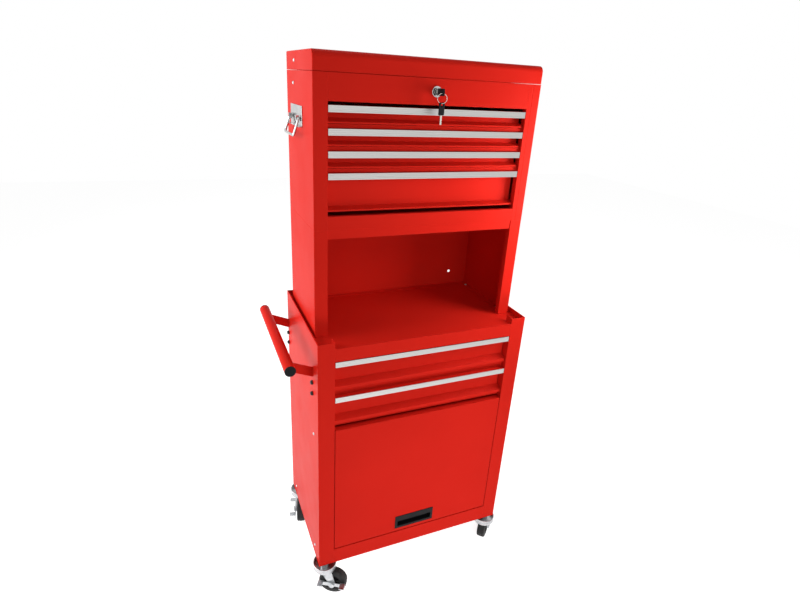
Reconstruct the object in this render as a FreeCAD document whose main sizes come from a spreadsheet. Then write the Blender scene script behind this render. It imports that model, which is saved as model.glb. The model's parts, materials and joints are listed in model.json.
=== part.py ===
# Rolling tool cabinet: a wheeled lower cabinet, an open riser and a lidded top chest.
# The origin is on the floor under the middle of the lower cabinet. Front is -Y, up is +Z.

import FreeCAD, Part
import Sketcher
import os
import re

# Sizes in millimetres, each written once here and read from the sheet everywhere else

SIZES = {
    # Sheet metal and general clearances
    "wall": 1.0,  # sheet thickness of every folded panel
    "pin_play": 0.06,  # radial play of a pin in its hole
    "side_play": 0.3,  # play between flat faces that slide or turn past each other
    "weld_play": 0.05,  # play between a tube and the bar it is welded to

    # Lower cabinet
    "cab_wide": 540,  # lower cabinet width
    "cab_deep": 330,  # lower cabinet depth
    "cab_tall": 665,  # lower cabinet height, to the top of its side walls
    "cab_post": 40,  # width of the lower front posts
    "cab_post_deep": 25,  # depth of the lower posts' inner return
    "rear_return": 12,  # width of the rear edge returns
    "tray_deep": 15,  # depth of the tray on top of the lower cabinet
    "hem_wide": 2.5,  # width of the folded hem on the tray's walls
    "tray_rail": 33,  # height of the front rail under the tray
    "rail_return": 12,  # depth of the rails' hidden return flanges
    "pan_rail": 47,  # height of the bottom rail
    "pan_lip": 10,  # height of the stop lip behind the door
    "rear_flange": 14,  # height of the floor panels' rear flanges
    "divider_gap": 4,  # gap between the door's top and the divider
    "divider_tall": 6,  # height of the divider rail
    "divider_back": 16,  # setback of the divider rail
    "divider_deep": 22,  # depth of the divider rail

    # Lower drawers
    "low_front": 75,  # front height of a lower drawer
    "low_first_gap": 2,  # gap between the tray rail and the first lower drawer
    "low_pitch": 94,  # spacing of the lower drawers
    "low_back_room": 32,  # room between a lower drawer and the back panel
    "low_lip": 8,  # height of the lip along the foot of a lower drawer's front
    "low_slope": 10,  # height of the slope above the lip on a lower drawer

    # Chest drawers
    "small_front": 34,  # front height of a shallow chest drawer
    "small_lip": 3.5,  # height of the lip along the foot of a chest drawer's front
    "small_slope": 6,  # height of the slope above the lip on a chest drawer
    "small_pitch": 43.7,  # spacing of the chest drawers
    "deep_foot_gap": 8.9,  # gap between the deep chest drawer and the bottom rail
    "chest_back_room": 31,  # room between a chest drawer and the chest's back
    "chest_first_gap": 7,  # gap between the lock panel and the first chest drawer

    # Drawer fronts, boxes and rails
    "front_play": 1.2,  # side play of a drawer front between the posts
    "face_recess": 22,  # setback of a drawer's face behind its strip
    "lip_recess": 6,  # setback of a drawer's lip behind its strip
    "strip_tall": 13,  # height of the aluminium strip
    "strip_thick": 2.5,  # thickness of the aluminium strip
    "strip_groove": 1.2,  # width of a groove in the strip
    "strip_groove_deep": 0.5,  # depth of a groove in the strip
    "strip_backing": 10,  # height of the flange behind the strip
    "box_inset": 10.5,  # setback of a drawer box's sides from the post opening
    "runner_wide": 8.5,  # width of the runner flange on a drawer's side
    "rail_inner": 4,  # height inside a slide rail
    "runner_drop": 4,  # distance from a drawer's top down to its runner
    "rail_wide": 8,  # width of a slide rail's flanges
    "rail_back": 4,  # setback of the rails' flanges behind the drawer faces
    "rail_hold": 6,  # length of a lower slide rail inside its post

    # Door
    "door_top_gap": 16,  # gap between the lowest drawer and the door
    "door_foot_gap": 3,  # gap between the bottom rail and the door
    "door_play": 1.5,  # side play of the door between the posts
    "door_flange": 18,  # depth of the door's edge flanges
    "door_pivot_back": 8,  # setback of the door's pivot behind its face
    "door_pivot_down": 8,  # drop of the door's pivot below its top edge
    "door_pin_r": 3,  # radius of the door's hinge pins
    "door_pin_head_r": 5,  # radius of the hinge pins' heads
    "door_pin_in": 7,  # length of a hinge pin inside the post opening
    "door_pin_head": 3,  # thickness of a hinge pin's head
    "pull_wide": 114,  # width of the door's recessed pull
    "pull_tall": 42,  # height of the door's recessed pull
    "pull_up": 11,  # height of the pull above the door's foot
    "pull_deep": 14,  # depth of the pull's pocket
    "pull_wall": 2,  # wall thickness of the pull
    "pull_rim": 5,  # width of the pull's rim over the door
    "pull_rim_thick": 1.5,  # thickness of the pull's rim
    "pull_hood": 12,  # height of the finger hood across the pocket's top

    # Riser and chest
    "chest_in": 10,  # setback of the riser, chest and lid from the cabinet's sides
    "chest_deep": 240,  # depth of the riser, chest and lid
    "chest_back": 26,  # setback of the riser and chest from the cabinet's back
    "chest_post": 30,  # width of the riser's and chest's front posts
    "chest_post_deep": 15,  # depth of the chest posts' inner return
    "riser_tall": 251.5,  # height of the open riser
    "riser_strip": 20,  # height of the riser's top strip
    "riser_strip_back": 2,  # setback of the riser's top strip
    "riser_foot": 15,  # width of the riser's foot flanges
    "cable_hole_r": 4,  # radius of the hole in the riser's back
    "cable_hole_in": 56,  # distance of that hole from the riser's side
    "cable_hole_up": 39,  # height of that hole above the tray
    "chest_tall": 309,  # height of the chest's body
    "chest_rail": 29.5,  # height of the chest's bottom rail
    "lock_panel": 52,  # height of the lock panel
    "till_lip": 12,  # height of the till's upturned edges
    "panel_return": 8,  # depth of the lock panel's top return

    # Lid
    "lid_gap": 0.8,  # seam between the chest and its lid
    "lid_tall": 37.3,  # height of the lid
    "lid_round": 13,  # rounding of the lid's front top edge
    "lid_rear_round": 4,  # rounding of the lid's rear top edge
    "lid_edge": 2,  # rounding of the lid's side edges
    "lid_rivet_in": 83,  # distance of the lid's rivets from its rear face
    "lid_rivet_up": 18.5,  # height of the rivets above the lid's lower edge
    "hinge_r": 3,  # radius of the lid hinge's knuckles
    "hinge_pin_r": 1.3,  # radius of the lid hinge's pin
    "hinge_leaf": 18,  # height of a lid hinge leaf
    "hinge_thick": 1.2,  # thickness of a lid hinge leaf
    "hinge_clear": 0.25,  # gap between the knuckles and the chest's back
    "hinge_inset": 30,  # distance of the hinge's ends from the chest's sides
    "hinge_end": 60,  # length of the hinge's end knuckles
    "hinge_mid": 100,  # length of the hinge's middle knuckle

    # Lock and key
    "lock_x": 1.5,  # sideways place of the lock
    "lock_down": 25.5,  # distance of the lock below the chest's top
    "bezel_r": 11,  # radius of the lock's bezel
    "bezel_thick": 3,  # thickness of the lock's bezel
    "barrel_r": 8.5,  # radius of the lock's barrel
    "barrel_long": 22,  # length of the lock's barrel behind the panel
    "nut_r": 13,  # radius of the lock's nut
    "nut_thick": 4,  # thickness of the lock's nut
    "plug_r": 6,  # radius of the lock's plug
    "cam_long": 22,  # length of the lock's cam
    "cam_wide": 12,  # width of the lock's cam
    "cam_thick": 2,  # thickness of the lock's cam
    "cam_nut_r": 7.5,  # radius of the cam's nut
    "cam_nut_thick": 3,  # thickness of the cam's nut
    "key_thick": 1.8,  # thickness of the key's blade
    "key_wide": 7,  # width of the key's blade
    "key_in": 20,  # length of the key inside the lock
    "keyway_play": 0.1,  # play round the key's blade
    "key_neck": 5,  # length of the key between the lock and its bow
    "bow_long": 25,  # length of the key's black bow
    "bow_wide": 14,  # width of the key's black bow
    "bow_thick": 5,  # thickness of the key's black bow
    "bow_round": 3,  # rounding of the bow's corners
    "bow_hole_r": 2.6,  # radius of the bow's ring hole
    "bow_hole_in": 5,  # distance of the ring hole from the bow's end

    # Carrying bails
    "bail_in": 99,  # distance of the bail's middle from the chest's rear face
    "bail_down": 92.5,  # distance of the bail's pivot below the chest's top
    "bail_span": 90,  # distance between the bail's legs
    "bail_leg": 36,  # length of the bail's legs
    "bail_out": 6,  # distance of the bail's pivot from the chest's side
    "wire_r": 2.75,  # radius of the bail's wire
    "bail_bend": 7,  # bend radius of the bail's wire
    "bail_end": 10,  # length of the bail's turned-in ends
    "bail_rest": 19,  # angle at which the bail rests on its plate's lip
    "plate_long": 109,  # length of the bail's plate
    "plate_up": 25,  # height of the plate above the pivot
    "plate_down": 17,  # height of the plate below the pivot
    "plate_thick": 2,  # thickness of the bail's plate
    "ear_tall": 12,  # height of a plate's ear
    "ear_thick": 3,  # thickness of a plate's ear
    "ear_wall": 2,  # metal round the wire in a plate's ear
    "plate_lip": 2,  # thickness of the plate's lower lip

    # Push handle
    "grip_r": 12.5,  # radius of the push handle's tube
    "grip_wall": 1.5,  # wall of the push handle's tube
    "grip_out": 61,  # distance of the tube from the cabinet's side
    "grip_down": 51,  # drop of the tube below the cabinet's top
    "grip_past": 3,  # length of the tube past the cabinet's front and back
    "cap_lip": 3,  # thickness of the tube's end caps
    "cap_plug": 15,  # length of an end cap inside the tube
    "arm_front_in": 49,  # distance of the front arm from the cabinet's front
    "arm_rear_in": 12,  # distance of the rear arm from the cabinet's rear
    "arm_thick": 3,  # thickness of the arms
    "arm_tall": 25,  # height of the arms' section
    "arm_down": 80,  # drop of an arm below the cabinet's top, at the side panel
    "arm_rise": 28,  # rise of the arm from the side panel to the tube
    "slot_play": 0.5,  # play of an arm in the side panel's slot
    "bracket_tall": 81,  # height of the bracket's plate
    "bracket_ahead": 12,  # width of the bracket's plate ahead of its arm
    "bracket_behind": 8,  # width of the bracket's plate behind its arm
    "arm_straight": 1,  # length of the arm's level part outside the panel
    "arm_past": 6,  # length of the arm past the middle of the tube
    "upper_screw_down": 41,  # drop of the bracket's upper screws below its top
    "lower_screw_down": 71,  # drop of the bracket's lower screws below its top

    # Screws
    "screw_head_r": 5,  # radius of a screw's head
    "screw_head": 2.5,  # height of a screw's head
    "screw_r": 2,  # radius of a screw's shank
    "screw_long": 9,  # length of a screw's shank
    "screw_hole_play": 0.1,  # radial play of a screw in a panel
    "frame_screw_in": 41.5,  # distance of the front side screws from the cabinet's front
    "frame_screw_rear_in": 57,  # distance of the rear side screws from the cabinet's rear
    "door_screw_z": 403,  # height of the side screw by the door
    "foot_screw_z": 38,  # height of the lowest side screws
    "riser_screw_front_in": 41,  # distance of the front foot screws from the riser's front
    "riser_screw_rear_in": 29,  # distance of the rear foot screws from the riser's rear
    "riser_screw_in": 8,  # distance of the foot screws from the riser's side
    "chest_screw_down": 25,  # drop of the side screw below the chest's top
    "chest_screw_in": 71,  # distance of the side screw from the chest's rear face

    # Casters
    "wheel_r": 38,  # radius of a wheel
    "wheel_wide": 24,  # width of a wheel
    "tread_round": 5,  # rounding of a wheel's tread
    "hub_r": 24,  # radius of a wheel's dished side
    "hub_dish": 4,  # depth of a wheel's dished side
    "boss_r": 9,  # radius of a wheel's hub boss
    "axle_r": 4,  # radius of an axle
    "axle_head_r": 7.5,  # radius of an axle's head
    "axle_head": 4,  # thickness of an axle's head
    "trail": 24,  # distance of the axle behind the swivel
    "crown_gap": 8,  # gap between the wheel and the swivel's crown
    "ring_tall": 16,  # height of the swivel's ring
    "ring_r": 31,  # outer radius of the swivel's ring
    "ring_wall": 2,  # wall of the swivel's ring
    "crown_thick": 3,  # thickness of the swivel's crown
    "collar_tall": 8,  # gap between the ring and the cabinet's bottom
    "collar_r": 12,  # radius of the stem's collar
    "stem_r": 5.5,  # radius of a caster's stem
    "stem_head_r": 9,  # radius of the rivet head under the crown
    "stem_head": 3,  # thickness of the rivet head under the crown
    "stem_up": 12,  # length of the stem inside the cabinet
    "stem_nut_r": 9.5,  # radius of the stem's nut
    "stem_nut": 8,  # height of the stem's nut
    "leg_thick": 2.5,  # thickness of a fork leg
    "leg_gap": 1.5,  # gap between the wheel and a fork leg
    "leg_ahead": 22,  # reach of a fork leg ahead of the swivel at the crown
    "leg_behind": 12,  # reach of a fork leg behind the swivel at the crown
    "leg_foot_r": 9,  # rounding of a fork leg at the axle
    "caster_in": 20,  # distance of the swivels from the cabinet's sides
    "caster_end": 19,  # distance of the swivels from the cabinet's front and rear
    "turn_front_left": -30,  # rest direction of the front left caster
    "turn_front_right": 44,  # rest direction of the front right caster
    "turn_rear_left": -104,  # rest direction of the rear left caster
    "turn_rear_right": 35,  # rest direction of the rear right caster

    # Caster brakes
    "brake_half": 37,  # half length of a brake rocker
    "brake_wide": 12,  # width of a brake rocker
    "brake_thick": 2.5,  # thickness of a brake rocker
    "pedal_long": 14,  # length of a brake pedal
    "pedal_out": 16,  # overhang of a brake pedal
    "brake_gap": 0.4,  # gap between a brake rocker and the fork leg
}

doc = FreeCAD.newDocument("ToolCabinet")
sizes = doc.addObject("Spreadsheet::Sheet", "Sizes")
for row, (alias, number) in enumerate(SIZES.items(), start=1):
    sizes.set(f"A{row}", str(number))
    sizes.setAlias(f"A{row}", alias)

doc.recompute()

alias_word = re.compile(r"[A-Za-z_][A-Za-z_0-9]*")


def rule(text):
    """Turn a rule such as 'cab_wide / 2 - wall' into an expression on the sheet."""
    return alias_word.sub(lambda m: "Sizes." + m.group(0) if m.group(0) in SIZES else m.group(0), str(text))


def value(text):
    """The present value of a rule, in millimetres."""
    found = sizes.evalExpression(rule(text))
    return float(getattr(found, "Value", found))


def bind(thing, target, text):
    thing.setExpression(target, rule(text))


def at(thing, x, y, z):
    """Bind where a sub-part stands."""
    bind(thing, ".Placement.Base.x", x)
    bind(thing, ".Placement.Base.y", y)
    bind(thing, ".Placement.Base.z", z)
    return thing


# Primitives and booleans

nodes = []


def node(label, thing):
    """Name a finished sub-part and list it for writing."""
    thing.Label = label
    nodes.append(thing)
    return thing


def box(x0, x1, y0, y1, z0, z1):
    """A block between two corners."""
    block = doc.addObject("Part::Box", "Block")
    bind(block, "Length", f"({x1}) - ({x0})")
    bind(block, "Width", f"({y1}) - ({y0})")
    bind(block, "Height", f"({z1}) - ({z0})")
    return at(block, x0, y0, z0)


AXIS_TURN = {
    "X": FreeCAD.Rotation(FreeCAD.Vector(0, 1, 0), 90),
    "Y": FreeCAD.Rotation(FreeCAD.Vector(1, 0, 0), -90),
    "Z": FreeCAD.Rotation(),
}


def rod(axis, radius, long, x, y, z):
    """A cylinder along +axis from the point x, y, z."""
    pin = doc.addObject("Part::Cylinder", "Rod")
    pin.Placement = FreeCAD.Placement(FreeCAD.Vector(), AXIS_TURN[axis])
    bind(pin, "Radius", radius)
    bind(pin, "Height", long)
    return at(pin, x, y, z)


# Turns X to Y, Y to Z and Z to X
INTO_YZ = FreeCAD.Rotation(FreeCAD.Vector(1, 1, 1), 120)


def bend(radius, wire, x, y, z, turn):
    """A quarter bend of round wire in the YZ plane, turned about X from its +Y +Z quadrant."""
    quarter = doc.addObject("Part::Torus", "Bend")
    quarter.Angle3 = 90
    bind(quarter, "Radius1", radius)
    bind(quarter, "Radius2", wire)
    about_x = FreeCAD.Rotation(FreeCAD.Vector(1, 0, 0), turn)
    quarter.Placement = FreeCAD.Placement(FreeCAD.Vector(), about_x.multiply(INTO_YZ))
    return at(quarter, x, y, z)


def fuse(*pieces):
    joined = doc.addObject("Part::MultiFuse", "Fuse")
    joined.Shapes = list(pieces)
    joined.Refine = True
    return joined


def cut(base, *tools):
    """Cut each tool out of the base in turn."""
    for tool in tools:
        cutting = doc.addObject("Part::Cut", "Cut")
        cutting.Base = base
        cutting.Tool = tool
        base = cutting
    return base


def group(*pieces):
    """Separate solids that share one node, such as identical screws."""
    together = doc.addObject("Part::Compound", "Group")
    together.Links = list(pieces)
    return together


# Sketched bodies

NORMAL_SIGN = {"XY_Plane": 1, "XZ_Plane": -1, "YZ_Plane": 1}


def outline(body, plane, start, loops):
    """A sketch of closed loops on an origin plane, moved along the plane's world axis.

    A loop is a list of corners (a, b) or rounded corners (a, b, radius), or a
    circle given as ("circle", a, b, radius).
    """
    sketch = body.newObject("Sketcher::SketchObject", "Outline")
    datum = [f for f in body.Origin.OriginFeatures if f.Role == plane][0]
    sketch.AttachmentSupport = (datum, [""])
    sketch.MapMode = "FlatFace"
    bind(sketch, ".AttachmentOffset.Base.z", f"{NORMAL_SIGN[plane]} * ({start})")
    for loop in loops:
        if loop[0] == "circle":
            circle_loop(sketch, *loop[1:])
        else:
            corner_loop(sketch, loop)
    return sketch


def pin_point(sketch, index, place, a, b):
    """Dimension one point of a sketch from the sketch's origin."""
    for kind, text in (("DistanceX", a), ("DistanceY", b)):
        number = sketch.addConstraint(Sketcher.Constraint(kind, -1, 1, index, place, value(text)))
        bind(sketch, f"Constraints[{number}]", text)


def circle_loop(sketch, a, b, radius):
    middle = FreeCAD.Vector(value(a), value(b), 0)
    index = sketch.addGeometry(Part.Circle(middle, FreeCAD.Vector(0, 0, 1), value(radius)), False)
    pin_point(sketch, index, 3, a, b)
    number = sketch.addConstraint(Sketcher.Constraint("Radius", index, value(radius)))
    bind(sketch, f"Constraints[{number}]", radius)


LEVEL = 1e-6


def unit(start, end):
    """Direction between two corners as a step along one axis; a slope counts as upright."""
    across = value(end[0]) - value(start[0])
    rise = value(end[1]) - value(start[1])
    if abs(rise) > LEVEL:
        return (0, 1 if rise > 0 else -1)
    return (1 if across > 0 else -1, 0)


def corner_loop(sketch, corners):
    """Lines between the corners, with arcs where a corner has a radius."""
    stops = []
    for here, corner in enumerate(corners):
        if len(corner) == 2:
            stops.append([corner, None])
            continue
        a, b, radius = corner
        into = unit(corners[here - 1], corner)
        away = unit(corner, corners[(here + 1) % len(corners)])
        first = (f"({a}) - {into[0]} * ({radius})", f"({b}) - {into[1]} * ({radius})")
        last = (f"({a}) + {away[0]} * ({radius})", f"({b}) + {away[1]} * ({radius})")
        middle = (f"{first[0]} + {away[0]} * ({radius})", f"{first[1]} + {away[1]} * ({radius})")
        stops.append([first, (last, middle, radius, into, away)])
    lines = []
    count = len(stops)
    for here, (entry, arc) in enumerate(stops):
        leave = arc[0] if arc else entry
        arrive = stops[(here + 1) % count][0]
        start = FreeCAD.Vector(value(leave[0]), value(leave[1]), 0)
        end = FreeCAD.Vector(value(arrive[0]), value(arrive[1]), 0)
        index = sketch.addGeometry(Part.LineSegment(start, end), False)
        pin_point(sketch, index, 1, *leave)
        lines.append(index)
    for here, (entry, arc) in enumerate(stops):
        before = lines[here - 1]
        if not arc:
            sketch.addConstraint(Sketcher.Constraint("Coincident", before, 2, lines[here], 1))
            continue
        last, middle, radius, into, away = arc
        pin_point(sketch, before, 2, *entry)
        centre = FreeCAD.Vector(value(middle[0]), value(middle[1]), 0)
        begin = FreeCAD.Vector(value(entry[0]), value(entry[1]), 0)
        finish = FreeCAD.Vector(value(last[0]), value(last[1]), 0)
        inner = (begin - centre).normalize() + (finish - centre).normalize()
        halfway = centre + inner.normalize() * value(radius)
        curve = sketch.addGeometry(Part.Arc(begin, halfway, finish), False)
        left_turn = into[0] * away[1] - into[1] * away[0] > 0
        first_end, last_end = (1, 2) if left_turn else (2, 1)
        sketch.addConstraint(Sketcher.Constraint("Coincident", before, 2, curve, first_end))
        sketch.addConstraint(Sketcher.Constraint("Coincident", lines[here], 1, curve, last_end))
        number = sketch.addConstraint(Sketcher.Constraint("Radius", curve, value(radius)))
        bind(sketch, f"Constraints[{number}]", radius)


def new_body():
    return doc.addObject("PartDesign::Body", "Body")


def pad(body, plane, loops, start, long):
    """Add the loops as solid material from start, along the plane's world axis."""
    feature = body.newObject("PartDesign::Pad", "Pad")
    feature.Profile = outline(body, plane, start, loops)
    bind(feature, "Length", long)
    feature.Reversed = NORMAL_SIGN[plane] < 0
    return body


def pocket(body, plane, loops, start, long):
    """Cut the loops out from start, along the plane's world axis."""
    doc.recompute()
    before = body.Shape.Volume
    feature = body.newObject("PartDesign::Pocket", "Pocket")
    feature.Profile = outline(body, plane, start, loops)
    bind(feature, "Length", long)
    feature.Reversed = NORMAL_SIGN[plane] > 0
    doc.recompute()
    if not body.Shape.Volume < before:
        raise RuntimeError("a pocket cuts nothing")
    return body


def revolve(body, plane, loops):
    """Turn the loops once round the sketch's upright axis."""
    sketch = outline(body, plane, 0, loops)
    feature = body.newObject("PartDesign::Revolution", "Revolution")
    feature.Profile = sketch
    feature.ReferenceAxis = (sketch, ["V_Axis"])
    feature.Angle = 360
    return body


def folded(path):
    """Close a fold line into a loop of sheet thickness, laid on the path's left side.

    Fold lines run along the axes. A sloped stretch stands between two upright
    ones and is set off sideways with them.
    """
    last = len(path) - 1
    backs = []
    for here, (a, b) in enumerate(path):
        steps = []
        if here > 0:
            steps.append(unit(path[here - 1], path[here]))
        if here < last:
            steps.append(unit(path[here], path[here + 1]))
        side_a = 0
        side_b = 0
        for step in steps:
            side_a = -step[1] if step[1] else side_a
            side_b = step[0] if step[0] else side_b
        backs.append((f"({a}) + {side_a} * wall", f"({b}) + {side_b} * wall"))
    return list(path) + backs[::-1]


def rectangle(a0, a1, b0, b1):
    return [(a0, b0), (a1, b0), (a1, b1), (a0, b1)]


def centred(half):
    """Start and length of a stretch that is centred on the middle plane."""
    return f"-({half})", f"2 * ({half})"


def hexagon(corner_r, long, x, y, z, turn=FreeCAD.Rotation()):
    """A hexagonal nut's blank along its own +Z."""
    nut = doc.addObject("Part::Prism", "Nut")
    nut.Polygon = 6
    nut.Placement = FreeCAD.Placement(FreeCAD.Vector(), turn)
    bind(nut, "Circumradius", corner_r)
    bind(nut, "Height", long)
    return at(nut, x, y, z)


def side_screw(side, face, y, z):
    """A screw driven through a side panel from outside."""
    head_start = f"{face} - screw_head" if side < 0 else face
    shank_start = face if side < 0 else f"{face} - screw_long"
    head = rod("X", "screw_head_r", "screw_head", head_start, y, z)
    shank = rod("X", "screw_r", "screw_long", shank_start, y, z)
    return fuse(head, shank)


# Heights and planes that several pieces share

CAB_Z = "(2 * wheel_r + crown_gap + ring_tall + collar_tall)"
TRAY_Z = f"({CAB_Z} + cab_tall - tray_deep)"
CHEST_Z = f"({TRAY_Z} + riser_tall)"
LID_SEAM_Z = f"({CHEST_Z} + chest_tall)"
LID_Z = f"({LID_SEAM_Z} + lid_gap)"
ARM_TOP = f"({CAB_Z} + cab_tall - arm_down)"
ARM_FOOT = f"({ARM_TOP} - arm_tall)"

CAB_HALF = "(cab_wide / 2)"
CAB_FRONT = "(-cab_deep / 2)"
CAB_REAR = "(cab_deep / 2)"
CAB_OPEN = f"({CAB_HALF} - cab_post)"
CAB_INNER = f"({CAB_HALF} - wall)"
CAB_POST_BACK = f"({CAB_FRONT} + cab_post_deep)"
CAB_PANEL_Y = f"({CAB_REAR} - 2 * wall)"
LOW_DEEP = "(cab_deep - 2 * wall - low_back_room)"

CHEST_HALF = f"({CAB_HALF} - chest_in)"
CHEST_REAR = f"({CAB_REAR} - chest_back)"
CHEST_FRONT = f"({CHEST_REAR} - chest_deep)"
CHEST_OPEN = f"({CHEST_HALF} - chest_post)"
CHEST_INNER = f"({CHEST_HALF} - wall)"
CHEST_POST_BACK = f"({CHEST_FRONT} + chest_post_deep)"
CHEST_BOX_DEEP = "(chest_deep - wall - chest_back_room)"

RAIL_FOOT = f"({TRAY_Z} - tray_rail)"
LOW_TOPS = [f"({RAIL_FOOT} - low_first_gap)", f"({RAIL_FOOT} - low_first_gap - low_pitch)"]
DOOR_TOP = f"({LOW_TOPS[1]} - low_front - door_top_gap)"
DOOR_FOOT = f"({CAB_Z} + pan_rail + door_foot_gap)"

PANEL_FOOT = f"({LID_SEAM_Z} - lock_panel)"
CHEST_TOPS = [f"({PANEL_FOOT} - chest_first_gap - {step} * small_pitch)" for step in range(4)]
DEEP_FRONT = f"({CHEST_TOPS[-1]} - {CHEST_Z} - chest_rail - deep_foot_gap)"

PIVOT_Y = f"({CAB_FRONT} + door_pivot_back)"
PIVOT_Z = f"({DOOR_TOP} - door_pivot_down)"

ARM_YS = [f"({CAB_FRONT} + arm_front_in)", f"({CAB_REAR} - arm_rear_in)"]
ARM_SCREW_ZS = [f"({ARM_TOP} - upper_screw_down)", f"({ARM_TOP} - lower_screw_down)"]
FRAME_SCREWS = [
    (f"({CAB_FRONT} + frame_screw_in)", f"({CAB_Z} + door_screw_z)"),
    (f"({CAB_FRONT} + frame_screw_in)", f"({CAB_Z} + foot_screw_z)"),
    (f"({CAB_REAR} - frame_screw_rear_in)", f"({CAB_Z} + foot_screw_z)"),
]
CHEST_SCREW = (f"({CHEST_REAR} - chest_screw_in)", f"({LID_SEAM_Z} - chest_screw_down)")
LID_RIVET = (f"({CHEST_REAR} - lid_rivet_in)", f"({LID_Z} + lid_rivet_up)")
SCREW_HOLE_R = "screw_r + screw_hole_play"
CASTER_X = f"({CAB_HALF} - caster_in)"
CASTER_Y = f"({CAB_REAR} - caster_end)"

# Lower cabinet: each side, its front post and its rear return are one folded sheet


def side_panel(side):
    panel = new_body()
    fold = [
        (f"{side} * {CAB_OPEN}", CAB_POST_BACK),
        (f"{side} * {CAB_OPEN}", CAB_FRONT),
        (f"{side} * {CAB_HALF}", CAB_FRONT),
        (f"{side} * {CAB_HALF}", CAB_REAR),
        (f"{side} * ({CAB_HALF} - rear_return)", CAB_REAR),
    ]
    pad(panel, "XY_Plane", [folded(fold if side > 0 else fold[::-1])], CAB_Z, "cab_tall")
    hem_x = (f"{side} * {CAB_INNER}", f"{side} * ({CAB_HALF} - hem_wide)")
    hem = rectangle(*hem_x, f"{CAB_FRONT} + wall", f"{CAB_REAR} - wall")
    pad(panel, "XY_Plane", [hem], f"{CAB_Z} + cab_tall - hem_wide", "hem_wide")
    cuts = [("circle", y, z, SCREW_HOLE_R) for y, z in FRAME_SCREWS]
    if side < 0:
        for arm_y in ARM_YS:
            half_slot = "(arm_thick / 2 + slot_play)"
            low, high = f"{ARM_FOOT} - slot_play", f"{ARM_TOP} + slot_play"
            cuts.append(rectangle(f"{arm_y} - {half_slot}", f"{arm_y} + {half_slot}", low, high))
            cuts += [("circle", arm_y, screw_z, SCREW_HOLE_R) for screw_z in ARM_SCREW_ZS]
    pocket(panel, "YZ_Plane", cuts, f"{side} * ({CAB_HALF} - wall / 2) - wall", "2 * wall")
    pivot = ("circle", PIVOT_Y, PIVOT_Z, "door_pin_r")
    pocket(panel, "YZ_Plane", [pivot], f"{side} * ({CAB_OPEN} + wall / 2) - wall", "2 * wall")
    return panel


node("lower_side_left", side_panel(-1))
node("lower_side_right", side_panel(1))

# Lower cabinet: back panel, inside the sides' rear returns
back = new_body()
back_loop = rectangle(f"-{CAB_INNER}", CAB_INNER, CAB_PANEL_Y, f"{CAB_PANEL_Y} + wall")
pad(back, "XY_Plane", [back_loop], CAB_Z, "cab_tall")
node("lower_back", back)

# The corners of the floor and the tray reach into the hollow posts
POST_HOLLOWS = [
    rectangle(f"{side} * ({CAB_OPEN} + wall)", f"{side} * {CAB_INNER}", f"{CAB_FRONT} + wall", CAB_POST_BACK)
    for side in (-1, 1)
]

# Lower cabinet: base pan with the bottom rail and the stop lip behind the door
LIP_Y = f"({CAB_FRONT} + door_flange + side_play)"
RAIL_TOP = f"({CAB_Z} + pan_rail)"
pan = new_body()
pan_front = [
    (LIP_Y, f"{RAIL_TOP} + pan_lip"),
    (LIP_Y, RAIL_TOP),
    (CAB_FRONT, RAIL_TOP),
    (CAB_FRONT, CAB_Z),
    (CAB_POST_BACK, CAB_Z),
]
pan_floor = [(CAB_POST_BACK, CAB_Z), (CAB_PANEL_Y, CAB_Z), (CAB_PANEL_Y, f"{CAB_Z} + rear_flange")]
pad(pan, "YZ_Plane", [folded(pan_front)], *centred(CAB_OPEN))
pad(pan, "YZ_Plane", [folded(pan_floor)], *centred(CAB_INNER))
pad(pan, "XY_Plane", POST_HOLLOWS, CAB_Z, "wall")
stem_holes = [
    ("circle", f"{side} * {CASTER_X}", f"{end} * {CASTER_Y}", "stem_r + pin_play")
    for side in (-1, 1)
    for end in (-1, 1)
]
pocket(pan, "XY_Plane", stem_holes, f"{CAB_Z} - wall", "3 * wall")
node("lower_base_pan", pan)

# Lower cabinet: tray with its front rail
tray = new_body()
tray_front = [
    (CAB_POST_BACK, TRAY_Z),
    (CAB_FRONT, TRAY_Z),
    (CAB_FRONT, RAIL_FOOT),
    (f"{CAB_FRONT} + rail_return", RAIL_FOOT),
]
tray_floor = [(CAB_PANEL_Y, f"{TRAY_Z} - rear_flange"), (CAB_PANEL_Y, TRAY_Z), (CAB_POST_BACK, TRAY_Z)]
pad(tray, "YZ_Plane", [folded(tray_front)], *centred(CAB_OPEN))
pad(tray, "YZ_Plane", [folded(tray_floor)], *centred(CAB_INNER))
pad(tray, "XY_Plane", POST_HOLLOWS, f"{TRAY_Z} - wall", "wall")
FOOT_SCREWS = [
    (f"{side} * ({CHEST_INNER} - riser_screw_in)", y)
    for side in (-1, 1)
    for y in (f"({CHEST_FRONT} + riser_screw_front_in)", f"({CHEST_REAR} - riser_screw_rear_in)")
]
foot_holes = [("circle", x, y, SCREW_HOLE_R) for x, y in FOOT_SCREWS]
pocket(tray, "XY_Plane", foot_holes, f"{TRAY_Z} - 2 * wall", "3 * wall")
node("lower_top_tray", tray)

# Lower cabinet: divider rail between the drawers and the door
divider = new_body()
DIVIDER_Y = f"({CAB_FRONT} + divider_back)"
DIVIDER_Z = f"({DOOR_TOP} + divider_gap)"
divider_fold = [
    (f"{DIVIDER_Y} + divider_deep", f"{DIVIDER_Z} + divider_tall"),
    (DIVIDER_Y, f"{DIVIDER_Z} + divider_tall"),
    (DIVIDER_Y, DIVIDER_Z),
    (f"{DIVIDER_Y} + divider_deep", DIVIDER_Z),
]
pad(divider, "YZ_Plane", [folded(divider_fold)], *centred(CAB_OPEN))
node("lower_divider", divider)

# Slide rails: a channel on each side takes a drawer's runner flange


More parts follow.
